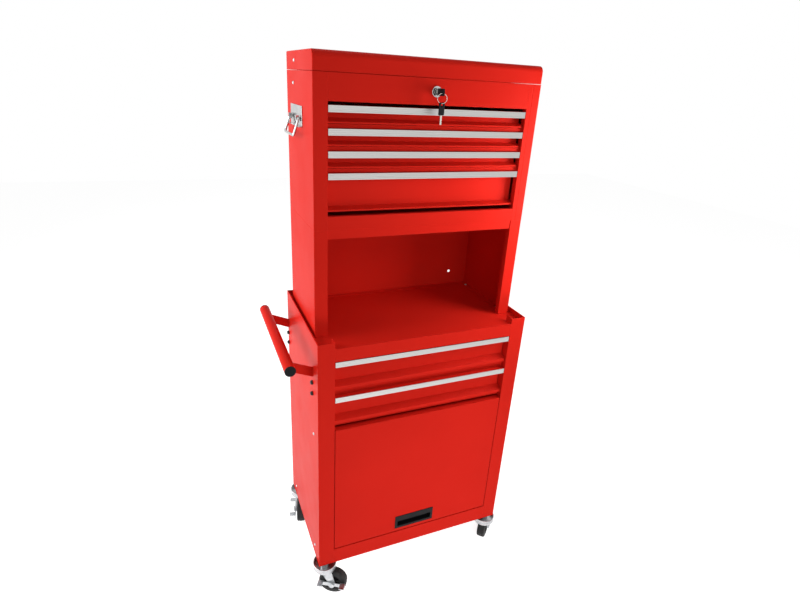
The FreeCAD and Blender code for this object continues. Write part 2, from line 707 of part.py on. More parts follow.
def slide_rail(side, half_open, front, web_front, rear, top):
    """One channel behind a post's inner return, for the drawer whose top is at top."""
    runner = f"({top} - runner_drop - wall)"
    web_in, web_out = f"{side} * ({half_open} + wall)", f"{side} * ({half_open} + 2 * wall)"
    tip = f"{side} * ({half_open} + wall - rail_wide)"
    low, high = f"{runner} - side_play - wall", f"{runner} - side_play + rail_inner"
    flange_y = f"{front} + face_recess + rail_back"
    x_web = (web_in, web_out) if side > 0 else (web_out, web_in)
    x_flange = (tip, web_in) if side > 0 else (web_in, tip)
    web = box(*x_web, web_front, rear, low, f"{high} + wall")
    foot = box(*x_flange, flange_y, rear, low, f"{low} + wall")
    roof = box(*x_flange, flange_y, rear, high, f"{high} + wall")
    return fuse(web, foot, roof)


LOW_WEB_FRONT = f"({CAB_POST_BACK} - rail_hold)"
low_rails = [
    slide_rail(side, CAB_OPEN, CAB_FRONT, LOW_WEB_FRONT, CAB_PANEL_Y, top)
    for top in LOW_TOPS
    for side in (-1, 1)
]
node("lower_slide_rails", group(*low_rails))

# Drawers: the front, floor and back are folded from one sheet, and the sides carry runners


def drawer_front(body, front, top, tall, half_open, lip, slope):
    """Adds a folded front: lip, slope, face and the hem behind the strip."""
    foot = f"({top} - ({tall}))"
    floor = f"({foot} + wall)"
    face = f"({front} + face_recess + wall)"
    lip_back = f"({front} + lip_recess + wall)"
    strip_back = f"({front} + strip_thick)"
    front_fold = [
        (face, floor),
        (lip_back, floor),
        (lip_back, f"{foot} + {lip}"),
        (face, f"{foot} + {lip} + {slope}"),
        (face, top),
        (strip_back, top),
        (strip_back, f"{top} - strip_backing"),
    ]
    return pad(body, "YZ_Plane", [folded(front_fold)], *centred(f"{half_open} - front_play"))


def drawer_box(body, front, top, tall, deep, half_open):
    """Adds a drawer's floor, back and sides, with their runners, behind its front."""
    foot = f"({top} - ({tall}))"
    floor = f"({foot} + wall)"
    face = f"({front} + face_recess + wall)"
    rear = f"({front} + {deep} - wall)"
    runner = f"({top} - runner_drop - wall)"
    half_box = f"({half_open} - box_inset)"
    floor_fold = [(rear, f"{runner}"), (rear, floor), (face, floor)]
    right_side = [(half_box, foot), (half_box, runner), (f"{half_box} + runner_wide", runner)]
    left_side = [(f"-({half_box} + runner_wide)", runner), (f"-{half_box}", runner), (f"-{half_box}", foot)]
    pad(body, "YZ_Plane", [folded(floor_fold)], *centred(half_box))
    sides = [folded(right_side), folded(left_side)]
    return pad(body, "XZ_Plane", sides, face, f"{deep} - face_recess - wall")


def strip(front, top, half_open):
    """The grooved aluminium strip along a drawer's top edge."""
    back_y = f"({front} + strip_thick)"
    groove_y = f"({front} + strip_groove_deep)"
    land = "((strip_tall - 3 * strip_groove) / 4)"
    corners = [(back_y, f"{top} - strip_tall"), (back_y, top), (front, top)]
    for step in (1, 2, 3):
        upper = f"{top} - {step} * {land} - {step - 1} * strip_groove"
        corners += [(front, upper), (groove_y, upper)]
        corners += [(groove_y, f"{upper} - strip_groove"), (front, f"{upper} - strip_groove")]
    corners.append((front, f"{top} - strip_tall"))
    body = new_body()
    return pad(body, "YZ_Plane", [corners], *centred(f"{half_open} - front_play"))


for number, top in enumerate(LOW_TOPS, 1):
    front = drawer_front(new_body(), CAB_FRONT, top, "low_front", CAB_OPEN, "low_lip", "low_slope")
    node(f"base_drawer_{number}_front", front)
    node(f"base_drawer_{number}", drawer_box(new_body(), CAB_FRONT, top, "low_front", LOW_DEEP, CAB_OPEN))
    node(f"base_drawer_{number}_pull", strip(CAB_FRONT, top, CAB_OPEN))

for number, top in enumerate(CHEST_TOPS, 1):
    tall = DEEP_FRONT if top == CHEST_TOPS[-1] else "small_front"
    body = drawer_front(new_body(), CHEST_FRONT, top, tall, CHEST_OPEN, "small_lip", "small_slope")
    node(f"chest_drawer_{number}", drawer_box(body, CHEST_FRONT, top, tall, CHEST_BOX_DEEP, CHEST_OPEN))
    node(f"chest_drawer_{number}_pull", strip(CHEST_FRONT, top, CHEST_OPEN))

# Door: a folded pan, hinged at its top corners, with a recessed pull
DOOR_HALF = f"({CAB_OPEN} - door_play)"
PULL_FOOT = f"({DOOR_FOOT} + pull_up)"
PULL_TOP = f"({PULL_FOOT} + pull_tall)"
POCKET_HALF = "(pull_wide / 2 - pull_rim)"
door = new_body()
pad(door, "XZ_Plane", [rectangle(f"-{DOOR_HALF}", DOOR_HALF, DOOR_FOOT, DOOR_TOP)], CAB_FRONT, "door_flange")
hollow = rectangle(
    f"-({DOOR_HALF} - wall)", f"{DOOR_HALF} - wall", f"{DOOR_FOOT} + wall", f"{DOOR_TOP} - wall"
)
pocket(door, "XZ_Plane", [hollow], f"{CAB_FRONT} + wall", "door_flange")
cutout = rectangle(f"-{POCKET_HALF}", POCKET_HALF, f"{PULL_FOOT} + pull_rim", f"{PULL_TOP} - pull_rim")
pocket(door, "XZ_Plane", [cutout], f"{CAB_FRONT} - wall", "3 * wall")
door_bore = ("circle", PIVOT_Y, PIVOT_Z, "door_pin_r + pin_play")
pocket(door, "YZ_Plane", [door_bore], *centred(CAB_OPEN))
node("door", door)

rim = box("-pull_wide / 2", "pull_wide / 2", f"{CAB_FRONT} - pull_rim_thick", CAB_FRONT, PULL_FOOT, PULL_TOP)
sleeve = box(
    f"-{POCKET_HALF}",
    POCKET_HALF,
    CAB_FRONT,
    f"{CAB_FRONT} + pull_deep",
    f"{PULL_FOOT} + pull_rim",
    f"{PULL_TOP} - pull_rim",
)
scoop = box(
    f"-{POCKET_HALF} + pull_wall",
    f"{POCKET_HALF} - pull_wall",
    f"{CAB_FRONT} - 2 * pull_rim_thick",
    f"{CAB_FRONT} + pull_deep - pull_wall",
    f"{PULL_FOOT} + pull_rim + pull_wall",
    f"{PULL_TOP} - pull_rim - pull_wall",
)
hood = box(
    f"-{POCKET_HALF}",
    POCKET_HALF,
    f"{CAB_FRONT} - pull_rim_thick",
    f"{CAB_FRONT} - pull_rim_thick + pull_wall",
    f"{PULL_TOP} - pull_rim - pull_hood",
    f"{PULL_TOP} - pull_rim",
)
node("door_pull", fuse(cut(fuse(rim, sleeve), scoop), hood))


def door_pin(side):
    """A headed pin from behind the post's return into the door's side flange."""
    inner_end = f"{side} * ({CAB_OPEN} - door_pin_in)"
    head_face = f"{side} * ({CAB_OPEN} + wall)"
    shank_start = inner_end if side > 0 else f"-({CAB_OPEN} + wall)"
    head_start = head_face if side > 0 else f"{head_face} - door_pin_head"
    shank = rod("X", "door_pin_r", "door_pin_in + wall", shank_start, PIVOT_Y, PIVOT_Z)
    head = rod("X", "door_pin_head_r", "door_pin_head", head_start, PIVOT_Y, PIVOT_Z)
    return fuse(shank, head)


node("door_hinge_pins", group(door_pin(-1), door_pin(1)))

# Riser and chest walls: each is one sheet folded round the back, the sides and the front posts


def wrap(foot, tall):
    body = new_body()
    fold = [
        (CHEST_OPEN, CHEST_POST_BACK),
        (CHEST_OPEN, CHEST_FRONT),
        (CHEST_HALF, CHEST_FRONT),
        (CHEST_HALF, CHEST_REAR),
        (f"-{CHEST_HALF}", CHEST_REAR),
        (f"-{CHEST_HALF}", CHEST_FRONT),
        (f"-{CHEST_OPEN}", CHEST_FRONT),
        (f"-{CHEST_OPEN}", CHEST_POST_BACK),
    ]
    return pad(body, "XY_Plane", [folded(fold)], foot, tall)


CHEST_PANEL_Y = f"({CHEST_REAR} - wall)"

riser = wrap(TRAY_Z, "riser_tall")
foot_loop = [
    (CHEST_INNER, CHEST_POST_BACK),
    (CHEST_INNER, CHEST_PANEL_Y),
    (f"-{CHEST_INNER}", CHEST_PANEL_Y),
    (f"-{CHEST_INNER}", CHEST_POST_BACK),
    (f"-{CHEST_INNER} + riser_foot", CHEST_POST_BACK),
    (f"-{CHEST_INNER} + riser_foot", f"{CHEST_PANEL_Y} - riser_foot"),
    (f"{CHEST_INNER} - riser_foot", f"{CHEST_PANEL_Y} - riser_foot"),
    (f"{CHEST_INNER} - riser_foot", CHEST_POST_BACK),
]
pad(riser, "XY_Plane", [foot_loop], TRAY_Z, "wall")
pocket(riser, "XY_Plane", foot_holes, f"{TRAY_Z} - wall", "3 * wall")
cable_hole = ("circle", f"{CHEST_HALF} - cable_hole_in", f"{TRAY_Z} + cable_hole_up", "cable_hole_r")
pocket(riser, "XZ_Plane", [cable_hole], f"{CHEST_PANEL_Y} - wall", "3 * wall")
node("riser_shell", riser)

# Riser: top panel with the strip across the opening
riser_top = new_body()
STRIP_Y = f"({CHEST_FRONT} + riser_strip_back)"
strip_fold = [
    (CHEST_POST_BACK, CHEST_Z),
    (STRIP_Y, CHEST_Z),
    (STRIP_Y, f"{CHEST_Z} - riser_strip"),
    (f"{CHEST_FRONT} + rail_return", f"{CHEST_Z} - riser_strip"),
]
roof_fold = [
    (CHEST_PANEL_Y, f"{CHEST_Z} - rear_flange"),
    (CHEST_PANEL_Y, CHEST_Z),
    (CHEST_POST_BACK, CHEST_Z),
]
pad(riser_top, "YZ_Plane", [folded(strip_fold)], *centred(CHEST_OPEN))
pad(riser_top, "YZ_Plane", [folded(roof_fold)], *centred(CHEST_INNER))
node("riser_top", riser_top)

screws = []
for x, y in FOOT_SCREWS:
    head = rod("Z", "screw_head_r", "screw_head", x, y, f"{TRAY_Z} + wall")
    shank = rod("Z", "screw_r", "screw_long", x, y, f"{TRAY_Z} + wall - screw_long")
    screws.append(fuse(head, shank))

# Chest: walls, floor with the bottom rail, lock panel and till
chest = wrap(CHEST_Z, "chest_tall")
chest_hole = ("circle", *CHEST_SCREW, SCREW_HOLE_R)
pocket(chest, "YZ_Plane", [chest_hole], *centred(f"{CHEST_HALF} + wall"))
node("chest_shell", chest)

chest_floor = new_body()
chest_rail_fold = [
    (f"{CHEST_FRONT} + rail_return", f"{CHEST_Z} + chest_rail"),
    (CHEST_FRONT, f"{CHEST_Z} + chest_rail"),
    (CHEST_FRONT, CHEST_Z),
    (CHEST_POST_BACK, CHEST_Z),
]
chest_floor_fold = [
    (CHEST_POST_BACK, CHEST_Z),
    (CHEST_PANEL_Y, CHEST_Z),
    (CHEST_PANEL_Y, f"{CHEST_Z} + rear_flange"),
]
pad(chest_floor, "YZ_Plane", [folded(chest_rail_fold)], *centred(CHEST_OPEN))
pad(chest_floor, "YZ_Plane", [folded(chest_floor_fold)], *centred(CHEST_INNER))
node("chest_floor", chest_floor)

LOCK_Z = f"({LID_SEAM_Z} - lock_down)"
lock_sheet = new_body()
lock_fold = [
    (f"{CHEST_FRONT} + panel_return", LID_SEAM_Z),
    (CHEST_FRONT, LID_SEAM_Z),
    (CHEST_FRONT, PANEL_FOOT),
    (f"{CHEST_FRONT} + rail_return", PANEL_FOOT),
]
pad(lock_sheet, "YZ_Plane", [folded(lock_fold)], *centred(CHEST_OPEN))
lock_hole = ("circle", "lock_x", LOCK_Z, "barrel_r")
pocket(lock_sheet, "XZ_Plane", [lock_hole], f"{CHEST_FRONT} - wall", "3 * wall")
node("chest_front_panel", lock_sheet)

TILL_Z = f"({PANEL_FOOT} + wall)"
TILL_FRONT = f"({CHEST_FRONT} + rail_return - wall)"
till = new_body()
till_front = [(TILL_FRONT, f"{TILL_Z} + till_lip"), (TILL_FRONT, TILL_Z), (CHEST_POST_BACK, TILL_Z)]
till_floor = [(CHEST_POST_BACK, TILL_Z), (CHEST_PANEL_Y, TILL_Z), (CHEST_PANEL_Y, f"{TILL_Z} + till_lip")]
pad(till, "YZ_Plane", [folded(till_front)], *centred(CHEST_OPEN))
pad(till, "YZ_Plane", [folded(till_floor)], *centred(CHEST_INNER))
node("chest_upper_tray", till)

chest_rails = [
    slide_rail(side, CHEST_OPEN, CHEST_FRONT, f"{CHEST_FRONT} + wall", CHEST_PANEL_Y, top)
    for top in CHEST_TOPS
    for side in (-1, 1)
]
node("chest_slide_rails", group(*chest_rails))

# Lid: a drawn cover with a rounded front edge, hollow underneath
lid = new_body()
lid_section = [
    (CHEST_REAR, LID_Z),
    (CHEST_REAR, f"{LID_Z} + lid_tall", "lid_rear_round"),
    (CHEST_FRONT, f"{LID_Z} + lid_tall", "lid_round"),
    (CHEST_FRONT, LID_Z),
]
lid_hollow = [
    (f"{CHEST_REAR} - wall", f"{LID_Z} - wall"),
    (f"{CHEST_REAR} - wall", f"{LID_Z} + lid_tall - wall", "lid_rear_round - wall"),
    (f"{CHEST_FRONT} + wall", f"{LID_Z} + lid_tall - wall", "lid_round - wall"),
    (f"{CHEST_FRONT} + wall", f"{LID_Z} - wall"),
]
pad(lid, "YZ_Plane", [lid_section], *centred(CHEST_HALF))
doc.recompute()
end_edges = []
for index, edge in enumerate(lid.Shape.Edges, 1):
    bounds = edge.BoundBox
    on_end = bounds.XLength < LEVEL
    at_foot = bounds.ZLength < LEVEL and bounds.ZMin < value(LID_Z) + LEVEL
    if on_end and not at_foot:
        end_edges.append(f"Edge{index}")
blank = lid.Tip
edge_round = lid.newObject("PartDesign::Fillet", "EdgeRound")
edge_round.Base = (blank, end_edges)
bind(edge_round, "Radius", "lid_edge")
pocket(lid, "YZ_Plane", [lid_hollow], *centred(CHEST_INNER))
rivet_hole = ("circle", *LID_RIVET, SCREW_HOLE_R)
pocket(lid, "YZ_Plane", [rivet_hole], *centred(f"{CHEST_HALF} + wall"))
node("lid", lid)

rivets = [side_screw(side, f"{side} * {CHEST_HALF}", *LID_RIVET) for side in (-1, 1)]
node("lid_rivets", group(*rivets))

# Lid hinge: knuckles behind the seam, with the pin fixed in the lower leaf
HINGE_Y = f"({CHEST_REAR} + hinge_r + hinge_clear)"
HINGE_Z = f"({LID_SEAM_Z} + lid_gap / 2)"
HINGE_HALF = f"({CHEST_HALF} - hinge_inset)"
FIXED_KNUCKLES = [
    (f"-{HINGE_HALF}", f"-{HINGE_HALF} + hinge_end"),
    ("-hinge_mid / 2", "hinge_mid / 2"),
    (f"{HINGE_HALF} - hinge_end", HINGE_HALF),
]
MOVING_KNUCKLES = [
    (f"-{HINGE_HALF} + hinge_end + side_play", "-hinge_mid / 2 - side_play"),
    ("hinge_mid / 2 + side_play", f"{HINGE_HALF} - hinge_end - side_play"),
]


CHEST_REAR_CLEAR = f"({CHEST_REAR} + hinge_clear)"


def hinge_leaf(up, knuckles):
    """A leaf and its knuckles; up is 1 for the lid's leaf and -1 for the chest's."""
    near, far = f"{HINGE_Z} + {up} * hinge_r", f"{HINGE_Z} + {up} * (hinge_r + hinge_leaf)"
    span = (near, far) if up > 0 else (far, near)
    parts = [box(f"-{HINGE_HALF}", HINGE_HALF, CHEST_REAR, f"{CHEST_REAR} + hinge_thick", *span)]
    for start, end in knuckles:
        parts.append(rod("X", "hinge_r", f"({end}) - ({start})", start, HINGE_Y, HINGE_Z))
        web = (HINGE_Z, near) if up > 0 else (near, HINGE_Z)
        parts.append(box(start, end, CHEST_REAR_CLEAR, f"{CHEST_REAR_CLEAR} + hinge_thick", *web))
    return fuse(*parts)


lower_leaf = hinge_leaf(-1, FIXED_KNUCKLES)
hinge_pin = rod("X", "hinge_pin_r", f"2 * {HINGE_HALF}", f"-{HINGE_HALF}", HINGE_Y, HINGE_Z)
node("lid_hinge_fixed_leaf", fuse(lower_leaf, hinge_pin))
upper_leaf = hinge_leaf(1, MOVING_KNUCKLES)
hinge_bore = rod("X", "hinge_pin_r + pin_play", f"2 * {HINGE_HALF}", f"-{HINGE_HALF}", HINGE_Y, HINGE_Z)
node("lid_hinge_moving_leaf", cut(upper_leaf, hinge_bore))

# Lock: barrel through the panel, nut behind it, turning plug with its cam, and the key
bezel = rod("Y", "bezel_r", "bezel_thick", "lock_x", f"{CHEST_FRONT} - bezel_thick", LOCK_Z)
barrel = rod("Y", "barrel_r", "wall + barrel_long", "lock_x", CHEST_FRONT, LOCK_Z)
bore = rod("Y", "plug_r + pin_play", "2 * barrel_long", "lock_x", f"{CHEST_FRONT} - 2 * bezel_thick", LOCK_Z)
node("lock_barrel", cut(fuse(bezel, barrel), bore))

nut_blank = hexagon("nut_r", "nut_thick", "lock_x", f"{CHEST_FRONT} + wall", LOCK_Z, AXIS_TURN["Y"])
nut_bore = rod("Y", "barrel_r", "3 * nut_thick", "lock_x", f"{CHEST_FRONT} - nut_thick", LOCK_Z)
node("lock_nut", cut(nut_blank, nut_bore))

BEZEL_FACE = f"({CHEST_FRONT} - bezel_thick)"
CAM_Y = f"({CHEST_FRONT} + wall + barrel_long + side_play)"
CAM_TAIL_R = "(plug_r - wall)"
plug = rod("Y", "plug_r", f"{CAM_Y} - ({BEZEL_FACE})", "lock_x", BEZEL_FACE, LOCK_Z)
tail = rod("Y", CAM_TAIL_R, "cam_thick + cam_nut_thick", "lock_x", CAM_Y, LOCK_Z)
keyway = box(
    "lock_x - key_thick / 2 - keyway_play",
    "lock_x + key_thick / 2 + keyway_play",
    BEZEL_FACE,
    f"{BEZEL_FACE} + key_in + keyway_play",
    f"{LOCK_Z} - key_wide / 2 - keyway_play",
    f"{LOCK_Z} + key_wide / 2 + keyway_play",
)
node("lock_plug", cut(fuse(plug, tail), keyway))

cam_x = ("lock_x - cam_wide / 2", "lock_x + cam_wide / 2")
cam_z = (f"{LOCK_Z} - cam_wide / 2", f"{LOCK_Z} + cam_long")
cam_bar = box(*cam_x, CAM_Y, f"{CAM_Y} + cam_thick", *cam_z)
cam_hole = rod("Y", CAM_TAIL_R, "3 * cam_thick", "lock_x", f"{CAM_Y} - cam_thick", LOCK_Z)
cam_nut_y = f"{CAM_Y} + cam_thick"
cam_nut_blank = hexagon("cam_nut_r", "cam_nut_thick", "lock_x", cam_nut_y, LOCK_Z, AXIS_TURN["Y"])
cam_nut_bore = rod("Y", CAM_TAIL_R, "3 * cam_nut_thick", "lock_x", CAM_Y, LOCK_Z)
node("lock_cam", group(cut(cam_bar, cam_hole), cut(cam_nut_blank, cam_nut_bore)))

BOW_FRONT = f"({BEZEL_FACE} - key_neck - bow_long)"
BOW_BACK = f"({BEZEL_FACE} - key_neck)"
bow = new_body()
bow_loop = [
    (BOW_FRONT, f"{LOCK_Z} - bow_wide / 2", "bow_round"),
    (BOW_BACK, f"{LOCK_Z} - bow_wide / 2", "bow_round"),
    (BOW_BACK, f"{LOCK_Z} + bow_wide / 2", "bow_round"),
    (BOW_FRONT, f"{LOCK_Z} + bow_wide / 2", "bow_round"),
]
bow_hole = ("circle", f"{BOW_FRONT} + bow_hole_in", LOCK_Z, "bow_hole_r")
pad(bow, "YZ_Plane", [bow_loop, bow_hole], "lock_x - bow_thick / 2", "bow_thick")
node("key_bow", bow)
node(
    "key_blade",
    box(
        "lock_x - key_thick / 2",
        "lock_x + key_thick / 2",
        BOW_BACK,
        f"{BEZEL_FACE} + key_in",
        f"{LOCK_Z} - key_wide / 2",
        f"{LOCK_Z} + key_wide / 2",
    ),
)

# A start value for turns that the sheet sets
REST_TURN = 1

# Carrying bails: a plate with two ears on each side, and a bent wire hanging in them
BAIL_Y = f"({CHEST_REAR} - bail_in)"
BAIL_Z = f"({LID_SEAM_Z} - bail_down)"
EAR_REACH = "(bail_out + wire_r + ear_wall)"


def bail_plate(side):
    pivot_x = f"{side} * ({CHEST_HALF} + bail_out)"

    def outward(near, far):
        """Stretch from near to far beyond the chest's side."""
        inner, outer = f"{side} * ({CHEST_HALF} + {near})", f"{side} * ({CHEST_HALF} + {far})"
        return (inner, outer) if side > 0 else (outer, inner)

    half = "(plate_long / 2)"
    low, high = f"{BAIL_Z} - plate_down", f"{BAIL_Z} + plate_up"
    plate_y = (f"{BAIL_Y} - {half}", f"{BAIL_Y} + {half}")
    parts = [box(*outward(0, "plate_thick"), *plate_y, low, high)]
    for end in (-1, 1):
        outer = f"({BAIL_Y} + {end} * (bail_span / 2 - bail_bend - side_play))"
        inner = f"({BAIL_Y} + {end} * (bail_span / 2 - bail_bend - side_play - ear_thick))"
        stretch = (inner, outer) if end > 0 else (outer, inner)
        ear_z = (f"{BAIL_Z} - ear_tall / 2", f"{BAIL_Z} + ear_tall / 2")
        parts.append(box(*outward(0, EAR_REACH), *stretch, *ear_z))
    lean = "(bail_rest * 1 deg)"
    lip_reach = f"(bail_out + (plate_down - plate_lip) * tan({lean}) - (wire_r + side_play) / cos({lean}))"
    parts.append(box(*outward(0, lip_reach), *plate_y, low, f"{low} + plate_lip"))
    bore = rod("Y", "wire_r + pin_play", "bail_span", pivot_x, f"{BAIL_Y} - bail_span / 2", BAIL_Z)
    return cut(fuse(*parts), bore)


def bail(side):
    """The wire: a grip bar, two legs and two turned-in ends, made about its own pivot."""
    half = "(bail_span / 2)"
    straight_leg = "(bail_leg - 2 * bail_bend)"
    parts = [rod("Y", "wire_r", "bail_span - 2 * bail_bend", 0, f"-{half} + bail_bend", "-bail_leg")]
    for end in (-1, 1):
        leg_y = f"{end} * {half}"
        inset_y = f"{end} * ({half} - bail_bend)"
        parts.append(rod("Z", "wire_r", straight_leg, 0, leg_y, "-bail_leg + bail_bend"))
        tip = f"{half} - bail_bend - bail_end" if end > 0 else f"-{half} + bail_bend"
        parts.append(rod("Y", "wire_r", "bail_end", 0, tip, 0))
        upper, lower = (0, -90) if end > 0 else (90, 180)
        parts.append(bend("bail_bend", "wire_r", 0, inset_y, "-bail_bend", upper))
        parts.append(bend("bail_bend", "wire_r", 0, inset_y, "-bail_leg + bail_bend", lower))
    wire = fuse(*parts)
    lean = FreeCAD.Rotation(FreeCAD.Vector(0, -side, 0), REST_TURN)
    wire.Placement = FreeCAD.Placement(FreeCAD.Vector(), lean)
    bind(wire, ".Placement.Rotation.Angle", "bail_rest")
    return at(wire, f"{side} * ({CHEST_HALF} + bail_out)", BAIL_Y, BAIL_Z)


node("bail_plates", group(bail_plate(-1), bail_plate(1)))
node("bail_left", bail(-1))
node("bail_right", bail(1))

# Push handle: a tube on two arms that pass through slots in the left side
GRIP_X = f"(-{CAB_HALF} - grip_out)"
GRIP_Z = f"({CAB_Z} + cab_tall - grip_down)"
GRIP_HALF = f"({CAB_REAR} + grip_past)"
PLATE_X = f"(-{CAB_INNER})"


def handle_bracket(arm_y):
    """A plate inside the side panel and the arm that leaves it."""
    inside = f"({PLATE_X} + arm_thick)"
    bend_x = f"(-{CAB_HALF} - arm_straight)"
    tip_x = f"({GRIP_X} - arm_past)"
    arm = new_body()
    arm_loop = [
        (inside, ARM_FOOT),
        (bend_x, ARM_FOOT),
        (tip_x, f"{ARM_FOOT} + arm_rise"),
        (tip_x, f"{ARM_TOP} + arm_rise"),
        (bend_x, ARM_TOP),
        (inside, ARM_TOP),
    ]
    pad(arm, "XZ_Plane", [arm_loop], f"{arm_y} - arm_thick / 2", "arm_thick")
    plate_y = (f"{arm_y} - bracket_ahead", f"{arm_y} + bracket_behind")
    plate = box(PLATE_X, inside, *plate_y, f"{ARM_TOP} - bracket_tall", ARM_TOP)
    tube_room = rod("Y", "grip_r + weld_play", "4 * arm_thick", GRIP_X, f"{arm_y} - 2 * arm_thick", GRIP_Z)
    hole_x = f"{PLATE_X} - arm_thick"
    holes = [rod("X", SCREW_HOLE_R, "3 * arm_thick", hole_x, arm_y, screw_z) for screw_z in ARM_SCREW_ZS]
    return cut(fuse(arm, plate), tube_room, *holes)


node("handle_brackets", group(*[handle_bracket(arm_y) for arm_y in ARM_YS]))
grip_outer = rod("Y", "grip_r", f"2 * {GRIP_HALF}", GRIP_X, f"-{GRIP_HALF}", GRIP_Z)
grip_bore = rod("Y", "grip_r - grip_wall", f"4 * {GRIP_HALF}", GRIP_X, f"-2 * {GRIP_HALF}", GRIP_Z)
node("handle_tube", cut(grip_outer, grip_bore))

caps = []
for end in (-1, 1):
    disc_y = GRIP_HALF if end > 0 else f"-{GRIP_HALF} - cap_lip"
    plug_y = f"{GRIP_HALF} - cap_plug" if end > 0 else f"-{GRIP_HALF}"
    disc = rod("Y", "grip_r", "cap_lip", GRIP_X, disc_y, GRIP_Z)
    caps.append(fuse(disc, rod("Y", "grip_r - grip_wall", "cap_plug", GRIP_X, plug_y, GRIP_Z)))
node("handle_caps", group(*caps))

screws += [side_screw(-1, f"-{CAB_HALF}", arm_y, screw_z) for arm_y in ARM_YS for screw_z in ARM_SCREW_ZS]
screws += [side_screw(side, f"{side} * {CAB_HALF}", y, z) for side in (-1, 1) for y, z in FRAME_SCREWS]
screws += [side_screw(side, f"{side} * {CHEST_HALF}", *CHEST_SCREW) for side in (-1, 1)]
node("frame_screws", group(*screws))

# Casters: stems fixed in the base pan, swivelling forks, wheels, and two brake rockers
CROWN_Z = "(2 * wheel_r + crown_gap)"
LEG_INNER = "(wheel_wide / 2 + leg_gap)"
LEG_OUTER = f"({LEG_INNER} + leg_thick)"


def turned(thing, x, y, z, turn):
    """Bind a sub-part's place and its turn about the upright axis."""
    upright_turn = FreeCAD.Rotation(FreeCAD.Vector(0, 0, 1), REST_TURN)
    thing.Placement = FreeCAD.Placement(FreeCAD.Vector(), upright_turn)
    bind(thing, ".Placement.Rotation.Angle", turn)
    return at(thing, x, y, z)


def caster_stem(x, y):
    """Stem, collar and rivet head, with the nut that holds it on the pan."""
    head_z = f"{CROWN_Z} - side_play - stem_head"
    stem = rod("Z", "stem_r", f"{CAB_Z} + wall + stem_up - ({head_z})", x, y, head_z)
    head = rod("Z", "stem_head_r", "stem_head", x, y, head_z)
    collar_z = f"({CROWN_Z} + crown_thick + side_play)"
    collar = rod("Z", "collar_r", f"{CAB_Z} - {collar_z}", x, y, collar_z)
    nut = hexagon("stem_nut_r", "stem_nut", x, y, f"{CAB_Z} + wall")
    return fuse(stem, head, collar, nut)


def caster_fork(x, y, turn, braked):
    """Crown, ring and legs, with the axle riveted in; the axle trails along local +X."""
    crown = rod("Z", "ring_r", "crown_thick", 0, 0, CROWN_Z)
    ring = rod("Z", "ring_r", "ring_tall", 0, 0, CROWN_Z)
    ring_room = rod("Z", "ring_r - ring_wall", "2 * ring_tall", 0, 0, f"{CROWN_Z} + crown_thick")
    parts = [crown, cut(ring, ring_room)]
    for side in (-1, 1):
        leg = new_body()
        leg_loop = [
            ("-leg_behind", CROWN_Z),
            ("trail - leg_foot_r", "wheel_r"),
            ("trail + leg_foot_r", "wheel_r"),
            ("leg_ahead", CROWN_Z),
        ]
        start = LEG_INNER if side > 0 else f"-{LEG_OUTER}"
        pad(leg, "XZ_Plane", [leg_loop], start, "leg_thick")
        parts += [leg, rod("Y", "leg_foot_r", "leg_thick", "trail", start, "wheel_r")]
    near = f"({LEG_OUTER} + brake_gap + brake_thick + brake_gap)" if braked else LEG_OUTER
    axle_start = f"-{near} - axle_head"
    axle_long = f"{near} + {LEG_OUTER} + 2 * axle_head"
    parts.append(rod("Y", "axle_r", axle_long, "trail", axle_start, "wheel_r"))
    parts.append(rod("Y", "axle_head_r", "axle_head", "trail", axle_start, "wheel_r"))
    parts.append(rod("Y", "axle_head_r", "axle_head", "trail", LEG_OUTER, "wheel_r"))
    stem_bore = rod("Z", "stem_r + pin_play", "4 * crown_thick", 0, 0, f"{CROWN_Z} - crown_thick")
    return turned(cut(fuse(*parts), stem_bore), x, y, 0, turn)


def wheel(x, y, turn):
    """Tread, dished sides and hub, turned about the axle."""
    half = "wheel_wide / 2"
    bore_r = "axle_r + pin_play"
    profile = [
        (bore_r, f"-{half}"),
        ("boss_r", f"-{half}"),
        ("boss_r", f"-{half} + hub_dish"),
        ("hub_r", f"-{half} + hub_dish"),
        ("hub_r", f"-{half}"),
        ("wheel_r", f"-{half}", "tread_round"),
        ("wheel_r", half, "tread_round"),
        ("hub_r", half),
        ("hub_r", f"{half} - hub_dish"),
        ("boss_r", f"{half} - hub_dish"),
        ("boss_r", half),
        (bore_r, half),
    ]
    body = revolve(new_body(), "XY_Plane", [profile])
    angle = f"({turn} * 1 deg)"
    return turned(body, f"{x} + trail * cos({angle})", f"{y} + trail * sin({angle})", "wheel_r", turn)


def brake(x, y, turn):
    """A rocker on the axle outside the fork leg, with a pedal bent out at each end."""
    inner, outer = f"-({LEG_OUTER} + brake_gap)", f"-({LEG_OUTER} + brake_gap + brake_thick)"
    low, high = "wheel_r - brake_wide / 2", "wheel_r + brake_wide / 2"
    bar = box("trail - brake_half", "trail + brake_half", outer, inner, low, high)
    pedals = []
    for end in (-1, 1):
        tip, root = f"trail + {end} * brake_half", f"trail + {end} * (brake_half - pedal_long)"
        stretch = (root, tip) if end > 0 else (tip, root)
        pedals.append(box(*stretch, f"{outer} - pedal_out", inner, high, f"{high} + brake_thick"))
    bore = rod("Y", "axle_r + pin_play", "4 * brake_thick", "trail", f"{outer} - brake_thick", "wheel_r")
    return turned(cut(fuse(bar, *pedals), bore), x, y, 0, turn)


